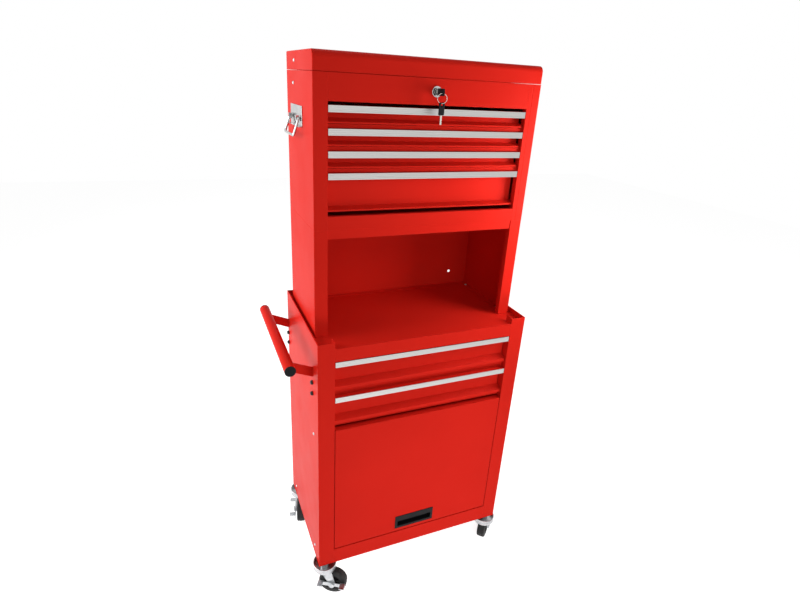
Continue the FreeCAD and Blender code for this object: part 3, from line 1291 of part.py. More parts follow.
CORNERS = [
    ("front_left", f"-{CASTER_X}", f"-{CASTER_Y}", "turn_front_left", True),
    ("front_right", CASTER_X, f"-{CASTER_Y}", "turn_front_right", False),
    ("rear_left", f"-{CASTER_X}", CASTER_Y, "turn_rear_left", True),
    ("rear_right", CASTER_X, CASTER_Y, "turn_rear_right", False),
]
node("caster_stems", group(*[caster_stem(x, y) for name, x, y, turn, braked in CORNERS]))
for name, x, y, turn, braked in CORNERS:
    node(f"caster_fork_{name}", caster_fork(x, y, turn, braked))
    node(f"caster_wheel_{name}", wheel(x, y, turn))
    if braked:
        node(f"caster_brake_{name}", brake(x, y, turn))

# Check every object, then write one file for each sub-part
doc.recompute()
for thing in doc.Objects:
    if "Invalid" in thing.State or "Error" in thing.State:
        raise RuntimeError(f"{thing.Name} ({thing.Label}) failed: {thing.State}")
os.makedirs("parts", exist_ok=True)
for thing in nodes:
    shape = thing.Shape
    if shape.isNull() or not shape.isValid() or not shape.Solids:
        raise RuntimeError(f"{thing.Label} has no sound solid")
    shape.exportStep(f"parts/{thing.Label}.step")
    print(thing.Label, len(shape.Solids), round(shape.Volume))
print(len(nodes), "sub-parts")
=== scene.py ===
# %% [markdown]
# # Rolling tool cabinet
#
# A red steel tool cabinet on four casters: a lower cabinet, an open riser and a chest with a lid.
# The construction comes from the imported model. Here it gets its folded edges, its finishes and
# its small hardware, and then its camera and its light.

import json
import math

import bmesh
import bpy
from mathutils import Matrix, Vector


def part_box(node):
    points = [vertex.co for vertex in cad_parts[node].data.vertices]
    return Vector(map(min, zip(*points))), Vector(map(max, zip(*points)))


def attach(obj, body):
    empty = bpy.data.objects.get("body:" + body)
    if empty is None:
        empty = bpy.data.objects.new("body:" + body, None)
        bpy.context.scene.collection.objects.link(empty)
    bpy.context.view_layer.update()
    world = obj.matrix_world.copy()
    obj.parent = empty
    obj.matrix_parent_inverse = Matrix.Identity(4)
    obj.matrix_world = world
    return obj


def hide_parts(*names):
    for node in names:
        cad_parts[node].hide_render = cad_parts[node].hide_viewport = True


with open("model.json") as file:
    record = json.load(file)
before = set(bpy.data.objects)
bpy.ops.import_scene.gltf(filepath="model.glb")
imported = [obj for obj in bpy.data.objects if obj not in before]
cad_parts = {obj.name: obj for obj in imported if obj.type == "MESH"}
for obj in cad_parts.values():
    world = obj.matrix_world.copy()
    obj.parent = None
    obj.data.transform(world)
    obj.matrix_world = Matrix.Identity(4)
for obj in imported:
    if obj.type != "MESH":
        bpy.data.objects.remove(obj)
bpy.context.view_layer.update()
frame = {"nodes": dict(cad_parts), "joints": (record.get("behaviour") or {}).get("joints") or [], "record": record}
nodes = frame["nodes"]
joints = {joint["name"]: joint for joint in frame["joints"]}
bodies = frame["record"]["behaviour"]["bodies"]
body_of_node = {name: body for body, names in bodies.items() for name in names}
MM = 0.001

# %% [markdown]
# ## Camera
#
# The photograph looks down on the cabinet from its front left, a little tilted. The place and the
# angles were found by fitting the cabinet's corners, so the camera is built from those angles and
# needs no aim point.

# %% Camera
CAMERA_PLACE = Vector((-0.51246, -1.14049, 1.31208))
YAW, PITCH, ROLL = math.radians(23.826), math.radians(-22.977), math.radians(3.42)
FOCAL_PIXELS = 518.98
IMAGE_WIDTH = 800
SENSOR_WIDTH = 36

ahead = Vector((math.sin(YAW) * math.cos(PITCH), math.cos(YAW) * math.cos(PITCH), math.sin(PITCH)))
level_right = Vector((math.cos(YAW), -math.sin(YAW), 0))
level_up = level_right.cross(ahead)
right = level_right * math.cos(ROLL) + level_up * math.sin(ROLL)
up = level_up * math.cos(ROLL) - level_right * math.sin(ROLL)

lens = bpy.data.cameras.new("camera")
lens.sensor_fit = "HORIZONTAL"
lens.sensor_width = SENSOR_WIDTH
lens.lens = FOCAL_PIXELS / IMAGE_WIDTH * lens.sensor_width
camera = bpy.data.objects.new("camera", lens)
camera_axes = Matrix((right, up, -ahead)).transposed().to_4x4()
camera.matrix_world = Matrix.Translation(CAMERA_PLACE) @ camera_axes
bpy.context.collection.objects.link(camera)
bpy.context.scene.camera = camera
print("lens", round(lens.lens, 2), "mm")

# %% [markdown]
# ## Light, background and floor
#
# The picture is a plain studio picture on white. A broad lamp at the left lights the left sides. A
# small one near the chest's right end makes its front brighten towards the right, a low one lights
# the door, one in front lights the tray and the drawers over it, and a high one reaches into the
# riser. The lamps in front are hidden from reflections, so that the drawers' strips stay grey. The
# world gives an even level, and it and the floor show white to the camera and in reflections. The
# floor keeps a shadow.

# %% Lamps
def lamp(name, place, aim, width, height, watts, mirrored=True):
    """A rectangular lamp at a place, turned to its aim and hidden from the camera."""
    light = bpy.data.lights.new(name, "AREA")
    light.shape = "RECTANGLE"
    light.size, light.size_y = width, height
    light.energy = watts
    thing = bpy.data.objects.new(name, light)
    facing = (Vector(aim) - Vector(place)).to_track_quat("-Z", "Y")
    thing.matrix_world = Matrix.Translation(place) @ facing.to_matrix().to_4x4()
    thing.visible_camera = False
    thing.visible_glossy = mirrored
    bpy.context.collection.objects.link(thing)


# Each lamp's name, place, aim, width and height in metres, and power in watts
lamp("left_lamp", (-2.2, 0.5, 1.2), (-0.27, 0.0, 0.75), 1.6, 1.8, 58)
lamp("chest_lamp", (0.50, -0.34, 1.10), (0.20, -0.1, 1.12), 0.25, 0.4, 3.5, mirrored=False)
lamp("low_front_lamp", (0.20, -0.95, 0.25), (0.0, -0.16, 0.32), 0.7, 0.25, 3.9, mirrored=False)
lamp("front_lamp", (0.1, -1.6, 0.95), (0.0, -0.1, 0.85), 0.8, 0.5, 3.4, mirrored=False)
lamp("high_front_lamp", (-0.8, -2.4, 2.1), (0.0, 0.0, 0.85), 1.3, 1.3, 7, mirrored=False)
lamp("top_lamp", (0.0, 0.2, 3.2), (0.0, 0.0, 1.3), 1.5, 1.5, 12)

print(len(bpy.data.lights), "lamps")


# %% World
def shows_white(tree):
    """1 for the rays that see a white background, and 0 for those that only light the cabinet."""
    rays = tree.nodes.new("ShaderNodeLightPath")
    share = rays.outputs["Is Camera Ray"]
    for kind in ("Is Glossy Ray", "Is Transmission Ray"):
        larger = tree.nodes.new("ShaderNodeMath")
        larger.operation = "MAXIMUM"
        tree.links.new(share, larger.inputs[0])
        tree.links.new(rays.outputs[kind], larger.inputs[1])
        share = larger.outputs[0]
    return share


scene = bpy.context.scene
scene.view_settings.view_transform = "Standard"
AMBIENT = 0.17
world = bpy.data.worlds.new("studio")
world.use_nodes = True
scene.world = world
sky = world.node_tree
sky.nodes.clear()
even = sky.nodes.new("ShaderNodeBackground")
even.inputs["Strength"].default_value = AMBIENT
even.inputs["Color"].default_value = (1, 1, 1, 1)
white = sky.nodes.new("ShaderNodeBackground")
white.inputs["Color"].default_value = (1, 1, 1, 1)
choose = sky.nodes.new("ShaderNodeMixShader")
sky.links.new(shows_white(sky), choose.inputs["Fac"])
sky.links.new(even.outputs[0], choose.inputs[1])
sky.links.new(white.outputs[0], choose.inputs[2])
out = sky.nodes.new("ShaderNodeOutputWorld")
sky.links.new(choose.outputs[0], out.inputs["Surface"])
print("world level", AMBIENT)

# %% Floor
FLOOR_HALF = 6.0
FLOOR_GLOW = 0.86
FLOOR_GREY = 0.7
sheet = bmesh.new()
bmesh.ops.create_grid(sheet, x_segments=2, y_segments=2, size=FLOOR_HALF)
floor_mesh = bpy.data.meshes.new("floor")
sheet.to_mesh(floor_mesh)
sheet.free()
floor = bpy.data.objects.new("floor", floor_mesh)
bpy.context.collection.objects.link(floor)
pale = bpy.data.materials.new("floor_white")
pale.use_nodes = True
paper = pale.node_tree
paper.nodes.clear()
matte = paper.nodes.new("ShaderNodeBsdfDiffuse")
matte.inputs["Color"].default_value = (FLOOR_GREY, FLOOR_GREY, FLOOR_GREY, 1)
glow = paper.nodes.new("ShaderNodeEmission")
glow.inputs["Strength"].default_value = FLOOR_GLOW
nothing = paper.nodes.new("ShaderNodeEmission")
nothing.inputs["Strength"].default_value = 0
extra = paper.nodes.new("ShaderNodeMixShader")
paper.links.new(shows_white(paper), extra.inputs["Fac"])
paper.links.new(nothing.outputs[0], extra.inputs[1])
paper.links.new(glow.outputs[0], extra.inputs[2])
both = paper.nodes.new("ShaderNodeAddShader")
paper.links.new(matte.outputs[0], both.inputs[0])
paper.links.new(extra.outputs[0], both.inputs[1])
out = paper.nodes.new("ShaderNodeOutputMaterial")
paper.links.new(both.outputs[0], out.inputs["Surface"])
floor_mesh.materials.append(pale)
print("floor", 2 * FLOOR_HALF, "m wide")

# %% [markdown]
# ## Finishes
#
# Every finish is one Principled shader. A small helper starts it with its even values on the
# shader's own sockets. Others add what varies over the surface: a noise pattern on Object
# coordinates, a slight change of colour or roughness by it, and a relief.

# %% Helpers for finishes
def finish(name, colour, rough, metal=0.0, shine=0.5):
    """A material with one Principled shader, and its even values."""
    material = bpy.data.materials.new(name)
    material.use_nodes = True
    shader = material.node_tree.nodes["Principled BSDF"]
    shader.inputs["Base Color"].default_value = (*colour, 1)
    shader.inputs["Roughness"].default_value = rough
    shader.inputs["Metallic"].default_value = metal
    shader.inputs["Specular IOR Level"].default_value = shine
    return material, material.node_tree, shader


def noise(tree, scale, stretch=(1, 1, 1), detail=3.0):
    """A noise on Object coordinates, so many bumps to the metre."""
    place = tree.nodes.new("ShaderNodeTexCoord")
    fit = tree.nodes.new("ShaderNodeMapping")
    fit.inputs["Scale"].default_value = stretch
    pattern = tree.nodes.new("ShaderNodeTexNoise")
    pattern.inputs["Scale"].default_value = scale
    pattern.inputs["Detail"].default_value = detail
    tree.links.new(place.outputs["Object"], fit.inputs["Vector"])
    tree.links.new(fit.outputs["Vector"], pattern.inputs["Vector"])
    return pattern.outputs["Fac"]


def spread(tree, value, low, high, start=0.3, end=0.7):
    """The pattern's middle part, spread to run from low to high."""
    steps = tree.nodes.new("ShaderNodeMapRange")
    steps.inputs["From Min"].default_value = start
    steps.inputs["From Max"].default_value = end
    steps.inputs["To Min"].default_value = low
    steps.inputs["To Max"].default_value = high
    tree.links.new(value, steps.inputs["Value"])
    return steps.outputs["Result"]


def blend_colours(tree, factor, first, second):
    """Goes from the first colour, or socket, to the second by a factor."""
    mix = tree.nodes.new("ShaderNodeMix")
    mix.data_type = "RGBA"
    tree.links.new(factor, mix.inputs["Factor"])
    for colour, socket in ((first, mix.inputs["A"]), (second, mix.inputs["B"])):
        if isinstance(colour, tuple):
            socket.default_value = (*colour, 1)
        else:
            tree.links.new(colour, socket)
    return mix.outputs["Result"]


def relief(tree, shader, height, depth):
    """Raises the surface by a pattern, to a depth in metres."""
    bump = tree.nodes.new("ShaderNodeBump")
    bump.inputs["Distance"].default_value = depth
    tree.links.new(height, bump.inputs["Height"])
    tree.links.new(bump.outputs["Normal"], shader.inputs["Normal"])


def tint(tree, shader, factor, first, second):
    """Lets the finish go from one colour to another by a factor."""
    tree.links.new(blend_colours(tree, factor, first, second), shader.inputs["Base Color"])


def dull(tree, shader, pattern, low, high):
    """Lets the roughness follow a pattern, from low to high."""
    tree.links.new(spread(tree, pattern, low, high), shader.inputs["Roughness"])


def edge_share(tree, radius):
    """Near 1 within a radius of a fold or a cut edge, and 0 on flat sheet."""
    rounded = tree.nodes.new("ShaderNodeBevel")
    rounded.inputs["Radius"].default_value = radius
    surface = tree.nodes.new("ShaderNodeNewGeometry")
    match = tree.nodes.new("ShaderNodeVectorMath")
    match.operation = "DOT_PRODUCT"
    tree.links.new(rounded.outputs["Normal"], match.inputs[0])
    tree.links.new(surface.outputs["Normal"], match.inputs[1])
    return spread(tree, match.outputs["Value"], 1.0, 0.0, 0.9, 1.0)


# %% [markdown]
# ### Red powder coat
#
# The sheet metal has a smooth powder coat with a soft shine. It is never quite even: a slow change
# of shade and a fine orange peel. Along the folds and cut edges a paler red is painted on as a
# highlight, standing partly for thinner paint and partly for the light those edges catch.

# %% Red powder coat
RED = (0.64, 0.0175, 0.0100)
RED_DEEP = (0.60, 0.0158, 0.0090)
# A paler red painted along the folds and cut edges as a highlight, partly standing for thinner paint
RED_FOLD_HIGHLIGHT = (0.78, 0.034, 0.022)
EDGE_RADIUS = 1.2 * MM

red, tree, shader = finish("red_powder_coat", RED, 0.36, shine=0.022)
shade = blend_colours(tree, spread(tree, noise(tree, 5.0), 0, 1), RED_DEEP, RED)
# The fold mask, broken up by a fine noise, says where the painted highlight goes
painted_highlight = tree.nodes.new("ShaderNodeMath")
painted_highlight.operation = "MULTIPLY"
tree.links.new(edge_share(tree, EDGE_RADIUS), painted_highlight.inputs[0])
tree.links.new(spread(tree, noise(tree, 60.0), 0.25, 0.75), painted_highlight.inputs[1])
shade = blend_colours(tree, painted_highlight.outputs[0], shade, RED_FOLD_HIGHLIGHT)
tree.links.new(shade, shader.inputs["Base Color"])
dull(tree, shader, noise(tree, 14.0, detail=6.0), 0.33, 0.39)
relief(tree, shader, noise(tree, 420.0, detail=2.0), 0.00004)
print("red powder coat", RED)

# %% [markdown]
# ### Metals
#
# The drawer strips are extruded aluminium, brushed along their length. Casters, rails and nuts are
# zinc plated, with the faint cloudy spangle of a bath. The bails and the lock are chrome.

# %% Brushed aluminium
aluminium, tree, shader = finish("brushed_aluminium", (0.78, 0.78, 0.77), 0.34, metal=1.0)
grain = noise(tree, 900.0, stretch=(0.004, 1, 1), detail=3.0)
tint(tree, shader, spread(tree, grain, 0, 1), (0.57, 0.565, 0.55), (0.65, 0.645, 0.63))
dull(tree, shader, grain, 0.27, 0.42)
relief(tree, shader, grain, 0.00002)
shader.inputs["Anisotropic"].default_value = 0.4

# %% Zinc plate
zinc, tree, shader = finish("zinc_plate", (0.66, 0.67, 0.68), 0.3, metal=1.0)
clouds = noise(tree, 70.0, detail=5.0)
tint(tree, shader, spread(tree, clouds, 0, 1), (0.40, 0.42, 0.44), (0.60, 0.61, 0.62))
dull(tree, shader, clouds, 0.22, 0.42)
relief(tree, shader, noise(tree, 500.0, detail=3.0), 0.00003)

# %% Chrome
chrome, tree, shader = finish("chrome_plate", (0.80, 0.80, 0.80), 0.12, metal=1.0)
smears = noise(tree, 45.0, detail=5.0)
dull(tree, shader, smears, 0.07, 0.2)
tint(tree, shader, spread(tree, smears, 0, 1), (0.42, 0.42, 0.43), (0.56, 0.56, 0.55))
relief(tree, shader, noise(tree, 220.0, detail=2.0), 0.00002)

# %% Nickel key metal
nickel, tree, shader = finish("nickel_key", (0.72, 0.70, 0.64), 0.26, metal=1.0)
drawn = noise(tree, 700.0, stretch=(1, 1, 0.03), detail=3.0)
dull(tree, shader, drawn, 0.2, 0.36)
relief(tree, shader, drawn, 0.00003)
print("metals ready")

# %% [markdown]
# ### Blackened screws, black plastic and rubber
#
# The handle's bolts are black oxide steel, with a dull shine. The key bows, the tube caps, the
# wheels' cores and the door's cup are moulded plastic with a fine grain. The tyres are dull rubber,
# scuffed where they roll.

# %% Black finishes
oxide, tree, shader = finish("black_oxide", (0.014, 0.013, 0.013), 0.42, shine=0.25)
dull(tree, shader, noise(tree, 300.0), 0.3, 0.5)
relief(tree, shader, noise(tree, 800.0), 0.00003)

plastic, tree, shader = finish("black_moulding", (0.008, 0.008, 0.009), 0.42, shine=0.10)
dull(tree, shader, noise(tree, 40.0), 0.36, 0.5)
relief(tree, shader, noise(tree, 1300.0, detail=2.0), 0.00006)

rubber, tree, shader = finish("black_rubber", (0.022, 0.022, 0.023), 0.62, shine=0.25)
dust = spread(tree, noise(tree, 90.0, detail=6.0), 0, 1, 0.45, 0.75)
tint(tree, shader, dust, (0.018, 0.018, 0.019), (0.05, 0.048, 0.046))
dull(tree, shader, noise(tree, 90.0), 0.52, 0.75)
relief(tree, shader, noise(tree, 900.0, detail=4.0), 0.00008)

slot_finish = {
    "red_enamel": red,
    "strip_aluminium": aluminium,
    "zinc_steel": zinc,
    "bright_chrome": chrome,
    "dark_screws": oxide,
    "black_plastic": plastic,
    "black_tyre": rubber,
    "key_steel": nickel,
}
print(len(slot_finish), "finishes for the record's slots")

# %% [markdown]
# ## Folded sheet
#
# The panels of the real cabinet are steel sheet, 1 mm thick, folded in a press. A fold is never
# sharp: its outside has a radius of about the sheet's thickness, and that round catches the light.
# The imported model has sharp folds, so each panel gets a copy with rounded ones. The copy's loose
# triangles are merged first, and flat neighbours become one face. Then the outside of a fold gets
# the large radius and a cut edge a small one, by bevel weights. The rims of the screw holes stay
# sharp, under their screws, and the flat faces are shaded flat.

# %% Helpers for pieces
node_slot = {part["node"]: part["material_slot"] for part in frame["record"]["subparts"]}
FOLD_RADIUS, CUT_RADIUS = 1.3 * MM, 0.42 * MM
CREASE_HALF, CREASE_DEEP = 1.0 * MM, 0.65 * MM
OPENING_HALF = 230 * MM  # from the middle to a post's inner edge
FLAT_AREA = 10 * MM * MM  # a larger face is part of a panel's flat
HOLE_EDGE = 2.6 * MM  # a shorter edge of such a face is part of a screw hole's rim
THIN_FACE = 2.4 * MM  # a narrower face is the sheet's cut edge
FLUSH_WITHIN = 0.2 * MM
SAME_POINT, ON_PLANE = 0.01 * MM, 0.02 * MM
FLAT_TURN, SHARP_TURN = 0.5, 38  # degrees between two faces


def piece(name, solid, body, slot, smooth=35.0):
    """A finished mesh object, riding on its body, with its slot's finish."""
    mesh = bpy.data.meshes.new(name)
    solid.to_mesh(mesh)
    solid.free()
    mesh.shade_smooth()
    mesh.set_sharp_from_angle(angle=math.radians(smooth))
    mesh.materials.clear()
    mesh.materials.append(slot_finish[slot])
    thing = bpy.data.objects.new(name, mesh)
    bpy.context.collection.objects.link(thing)
    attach(thing, body)
    return thing


def merged(name):
    """A CAD node's shape, with its triangles joined and its flat areas whole."""
    solid = bmesh.new()
    solid.from_mesh(nodes[name].data)
    bmesh.ops.remove_doubles(solid, verts=solid.verts, dist=SAME_POINT)
    bmesh.ops.dissolve_limit(solid, angle_limit=math.radians(FLAT_TURN), verts=solid.verts, edges=solid.edges)
    bmesh.ops.connect_verts_concave(solid, faces=solid.faces)
    return solid


def rounded(thing, width, segments=2, by="ANGLE"):
    """Finishes a piece with a Bevel modifier."""
    bevel = thing.modifiers.new("rounded_edges", "BEVEL")
    bevel.width = width
    bevel.segments = segments
    bevel.profile = 0.5
    bevel.limit_method = by
    bevel.angle_limit = math.radians(SHARP_TURN)
    bevel.use_clamp_overlap = False
    bevel.miter_outer = "MITER_ARC"
    even = thing.modifiers.new("even_shading", "WEIGHTED_NORMAL")
    even.keep_sharp = True
    even.weight = 100
    return thing


def breadth(face):
    """How wide a face is, from its area and its outline."""
    return 2 * face.calc_area() / face.calc_perimeter()


def crease(solid, along, place, face_axis, face_at, inward):
    """A shallow pressed line on one face: a V cut across the axis `along` at a place."""
    for step in (-1, 0, 1):
        point, normal = Vector(), Vector()
        point[along], normal[along] = place + step * CREASE_HALF, 1
        everything = solid.verts[:] + solid.edges[:] + solid.faces[:]
        bmesh.ops.bisect_plane(solid, geom=everything, plane_co=point, plane_no=normal, dist=SAME_POINT)
    foot = [corner for corner in solid.verts if abs(corner.co[along] - place) < ON_PLANE
            and abs(corner.co[face_axis] - face_at) < ON_PLANE]
    shift = Vector()
    shift[face_axis] = inward * CREASE_DEEP
    bmesh.ops.translate(solid, vec=shift, verts=foot)
    return len(foot)


def folded_panel(name):
    """A panel's copy with rounded folds, and with its pressed line if it has one."""
    solid = merged(name)
    if name in CREASES:
        print(name, "pressed line through", crease(solid, *CREASES[name]), "corners")
    weight = solid.edges.layers.float.new("bevel_weight_edge")
    for edge in solid.edges:
        if len(edge.link_faces) != 2:
            continue
        turn = math.degrees(edge.calc_face_angle_signed(0))
        in_panel = max(face.calc_area() for face in edge.link_faces) > FLAT_AREA
        if abs(turn) < SHARP_TURN or (in_panel and edge.calc_length() < HOLE_EDGE):
            continue
        outside = turn > 0 and min(breadth(face) for face in edge.link_faces) > THIN_FACE
        flush = max(abs(abs(corner.co.x) - OPENING_HALF) for corner in edge.verts) < FLUSH_WITHIN
        edge[weight] = 1.0 if outside and not flush else CUT_RADIUS / FOLD_RADIUS
    thing = piece(name + "_folded", solid, body_of_node[name], node_slot[name])
    for face in thing.data.polygons:
        face.use_smooth = face.area < FLAT_AREA
    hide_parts(name)
    return rounded(thing, FOLD_RADIUS, 3, "WEIGHT")


def softened(name, width):
    """A small part's copy with softened edges."""
    thing = piece(name + "_softened", merged(name), body_of_node[name], node_slot[name])
    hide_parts(name)
    return rounded(thing, width)


# %% Panels, drawers, door and lid
X, Y, Z = range(3)
SIDE_LINE_UP, POST_LINE_IN = 11 * MM, 10 * MM
side_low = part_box("lower_side_left")[0]
chest_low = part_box("chest_shell")[0]
CREASES = {
    "lower_side_left": (Z, side_low.z + SIDE_LINE_UP, X, side_low.x, 1),
    "lower_side_right": (Z, side_low.z + SIDE_LINE_UP, X, -side_low.x, -1),
    "chest_shell": (X, OPENING_HALF + POST_LINE_IN, Y, chest_low.y, 1),
}
red_nodes = [name for name, slot in node_slot.items() if slot == "red_enamel"]
panels = [name for name in red_nodes if not name.startswith("handle")]
for name in panels:
    folded_panel(name)
print(len(panels), "folded panels")

# %% [markdown]
# ## Cross rails
#
# Between one drawer and the next a channel runs from post to post. It is folded from the same
# sheet, set back behind the drawers' fronts, and shows as a dark red band.

# %% Cross rails between the drawers
RAIL_SHEET, RAIL_PLAY, RAIL_EDGE = 1.0 * MM, 0.9 * MM, 0.3 * MM
CHEST_RAIL_BACK, CHEST_RAIL_DEEP = 8 * MM, 12 * MM
LOW_RAIL_BACK, LOW_RAIL_DEEP = 16 * MM, 22 * MM


def cross_rail(solid, over, under, front, deep):
    """A channel from post to post, open to the rear, in the gap between two drawers."""
    high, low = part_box(over)[0].z - RAIL_PLAY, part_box(under)[1].z + RAIL_PLAY
    rear, web = front + deep, front + RAIL_SHEET
    outline = [(rear, high), (front, high), (front, low), (rear, low), (rear, low + RAIL_SHEET),
               (web, low + RAIL_SHEET), (web, high - RAIL_SHEET), (rear, high - RAIL_SHEET)]
    end = solid.faces.new([solid.verts.new((-OPENING_HALF, y, z)) for y, z in outline])
    grown = bmesh.ops.extrude_face_region(solid, geom=[end])["geom"]
    far = [part for part in grown if isinstance(part, bmesh.types.BMVert)]
    bmesh.ops.translate(solid, vec=(2 * OPENING_HALF, 0, 0), verts=far)


def cross_rails(name, pairs, front, deep):
    """The rails of one cabinet, as one piece."""
    solid = bmesh.new()
    for over, under in pairs:
        cross_rail(solid, over, under, front, deep)
    bmesh.ops.recalc_face_normals(solid, faces=solid.faces)
    closed = all(len(edge.link_faces) == 2 for edge in solid.edges)
    rounded(piece(name, solid, body_of_node["chest_shell"], "red_enamel"), RAIL_EDGE)
    return closed


chest_pairs = [(f"chest_drawer_{number}", f"chest_drawer_{number + 1}") for number in (1, 2, 3)]
chest_front = chest_low.y + CHEST_RAIL_BACK
print("closed", cross_rails("chest_cross_rails", chest_pairs, chest_front, CHEST_RAIL_DEEP))
low_pair = [("base_drawer_1_front", "base_drawer_2_front")]
print("closed", cross_rails("lower_cross_rail", low_pair, side_low.y + LOW_RAIL_BACK, LOW_RAIL_DEEP))

# %% [markdown]
# ## Strips, rails, bails and push handle
#
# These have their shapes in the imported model. They only need softened edges: large ones on the
# pressed bail plates and small ones on the extruded strips.

# %% Small steel and aluminium parts
# The width of each part's softened edges, in millimetres
SOFT_EDGES = {
    "handle_brackets": 0.5,
    "handle_tube": 0.2,
    "handle_caps": 0.8,
    "lower_slide_rails": 0.3,
    "chest_slide_rails": 0.3,
    "lid_hinge_fixed_leaf": 0.25,
    "lid_hinge_moving_leaf": 0.25,
    "door_hinge_pins": 0.3,
    "door_pull": 0.45,
    "lock_barrel": 0.9,
    "lock_nut": 0.3,
    "lock_plug": 0.3,
    "lock_cam": 0.3,
    "key_bow": 0.9,
    "key_blade": 0.25,
    "bail_plates": 0.5,
    "bail_left": 0.1,
    "bail_right": 0.1,
    "caster_stems": 0.4,
}
STRIP_EDGE, CASTER_EDGE = 0.35, 0.5
for name in node_slot:
    if name.endswith("_pull") and name not in SOFT_EDGES:
        SOFT_EDGES[name] = STRIP_EDGE
    if name.startswith("caster_fork") or name.startswith("caster_brake"):
        SOFT_EDGES[name] = CASTER_EDGE
for name, width in SOFT_EDGES.items():
    softened(name, width * MM)
print(len(SOFT_EDGES), "softened parts")

# %% [markdown]
# ## Wheels
#
# Each caster has a black wheel of about 75 mm: a moulded core with a dished side and pockets
# between its spokes, and a rubber tyre with rounded shoulders and two fine grooves. Both are spun
# from half a section, and the pockets are inset from the dished face.

# %% Wheels
WHEEL_R, WHEEL_HALF, HUB_R, BORE_R, BOSS_R = 38 * MM, 12 * MM, 24 * MM, 4.1 * MM, 9 * MM
RIM_HALF = 10.6 * MM
TYRE_STEPS, CORE_STEPS, POCKETS = 72, 56, 7
CORE_EDGE = 0.35 * MM


def spun(section, steps):
    """A closed ring from points (radius, height), spun about Z."""
    solid = bmesh.new()
    corners = [solid.verts.new((radius, 0, height)) for radius, height in section]
    ring = [solid.edges.new(pair) for pair in zip(corners, corners[1:] + corners[:1])]
    bmesh.ops.spin(solid, geom=corners + ring, cent=(0, 0, 0), axis=(0, 0, 1), angle=math.tau,
                   steps=steps, use_merge=True)
    bmesh.ops.remove_doubles(solid, verts=solid.verts, dist=0.000005)
    bmesh.ops.recalc_face_normals(solid, faces=solid.faces)
    return solid


def both_sides(half_section):
    """A section's points for positive heights, followed by their mirror image."""
    return half_section + [(radius, -height) for radius, height in reversed(half_section)]


def tyre():
    """The rubber tyre, with a groove near each shoulder."""
    groove, deep, wide = 5.5 * MM, 0.9 * MM, 0.8 * MM
    return spun(both_sides([
        (HUB_R, RIM_HALF), (HUB_R + 1.5 * MM, WHEEL_HALF), (WHEEL_R - 5 * MM, WHEEL_HALF),
        (WHEEL_R - 2.2 * MM, WHEEL_HALF - 0.8 * MM), (WHEEL_R - 0.7 * MM, WHEEL_HALF - 2.4 * MM),
        (WHEEL_R - 0.15 * MM, WHEEL_HALF - 4.4 * MM), (WHEEL_R - 0.1 * MM, groove + wide),
        (WHEEL_R - deep, groove + wide / 2), (WHEEL_R - deep, groove - wide / 2),
        (WHEEL_R, groove - wide),
    ]), TYRE_STEPS)


def step_round(face):
    """How many of the core's steps a face's middle lies round the axle."""
    middle = face.calc_center_median()
    return (math.atan2(middle.y, middle.x) % math.tau) / math.tau * CORE_STEPS


def core():
    """The moulded core, with its pockets in each dished side."""
    solid = spun(both_sides([
        (BORE_R, WHEEL_HALF - 0.1 * MM), (BOSS_R - 1 * MM, WHEEL_HALF - 0.1 * MM),
        (BOSS_R, WHEEL_HALF - 1.2 * MM), (BOSS_R + 0.6 * MM, 8.4 * MM), (HUB_R - 4 * MM, 8.0 * MM),
        (HUB_R - 2.6 * MM, 10.2 * MM), (HUB_R - 0.05 * MM, RIM_HALF),
    ]), CORE_STEPS)
    solid.faces.ensure_lookup_table()
    dish = [face for face in solid.faces if abs(abs(face.normal.z) - 1) < 0.01
            and BOSS_R + 1 * MM < face.calc_center_median().xy.length < HUB_R - 4 * MM]
    per_pocket = CORE_STEPS // POCKETS
    for side in (1, -1):
        for spoke in range(POCKETS):
            pocket = [face for face in dish if face.normal.z * side > 0
                      and 1 <= step_round(face) - per_pocket * spoke < per_pocket - 1]
            bmesh.ops.inset_region(solid, faces=pocket, thickness=0.7 * MM, depth=-2.2 * MM,
                                   use_even_offset=True)
    return solid


for corner in ("front_left", "front_right", "rear_left", "rear_right"):
    axle = joints[corner + "_wheel_spin"]
    turn = Vector((0, 0, 1)).rotation_difference(Vector(axle["axis"])).to_matrix().to_4x4()
    seat = Matrix.Translation(axle["pos_m"]) @ turn
    for word, solid, slot in (("tyre", tyre(), "black_tyre"), ("core", core(), "black_plastic")):
        bmesh.ops.transform(solid, matrix=seat, verts=solid.verts)
        wheel_part = piece(f"wheel_{word}_{corner}", solid, "wheel_" + corner, slot)
        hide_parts("caster_wheel_" + corner)
        if word == "core":
            rounded(wheel_part, CORE_EDGE)
print("8 wheel parts")

# %% [markdown]
# ## Screws
#
# The frame, the riser and the handle are held by pan head screws with a cross recess. One head is
# spun and its recess is cut with a tapered cross. The same head then stands where each screw of
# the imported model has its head, taller and black for the handle's bolts, and narrower for the rest.
# The lid's rivets have the blank head.

# %% One screw head
HEAD_R, HEAD_TALL, BOLT_TALL = 5 * MM, 2.5 * MM, 6 * MM
HEAD_STEPS = 32
BAR = (5.2 * MM, 1.1 * MM, 2.4 * MM)
BAR_TAPER = (0.55, 0.7, 1)


def tapered_cross():
    """The driver's tip: two crossing bars, narrower below."""
    tip = bmesh.new()
    for turned in (0, math.pi / 2):
        bar = bmesh.ops.create_cube(tip, size=1)["verts"]
        bmesh.ops.scale(tip, vec=BAR, verts=bar)
        foot = [corner for corner in bar if corner.co.z < 0]
        bmesh.ops.scale(tip, vec=BAR_TAPER, verts=foot)
        bmesh.ops.rotate(tip, matrix=Matrix.Rotation(turned, 3, "Z"), verts=bar)
        bmesh.ops.translate(tip, vec=(0, 0, HEAD_TALL + 0.1 * MM), verts=bar)
    return tip


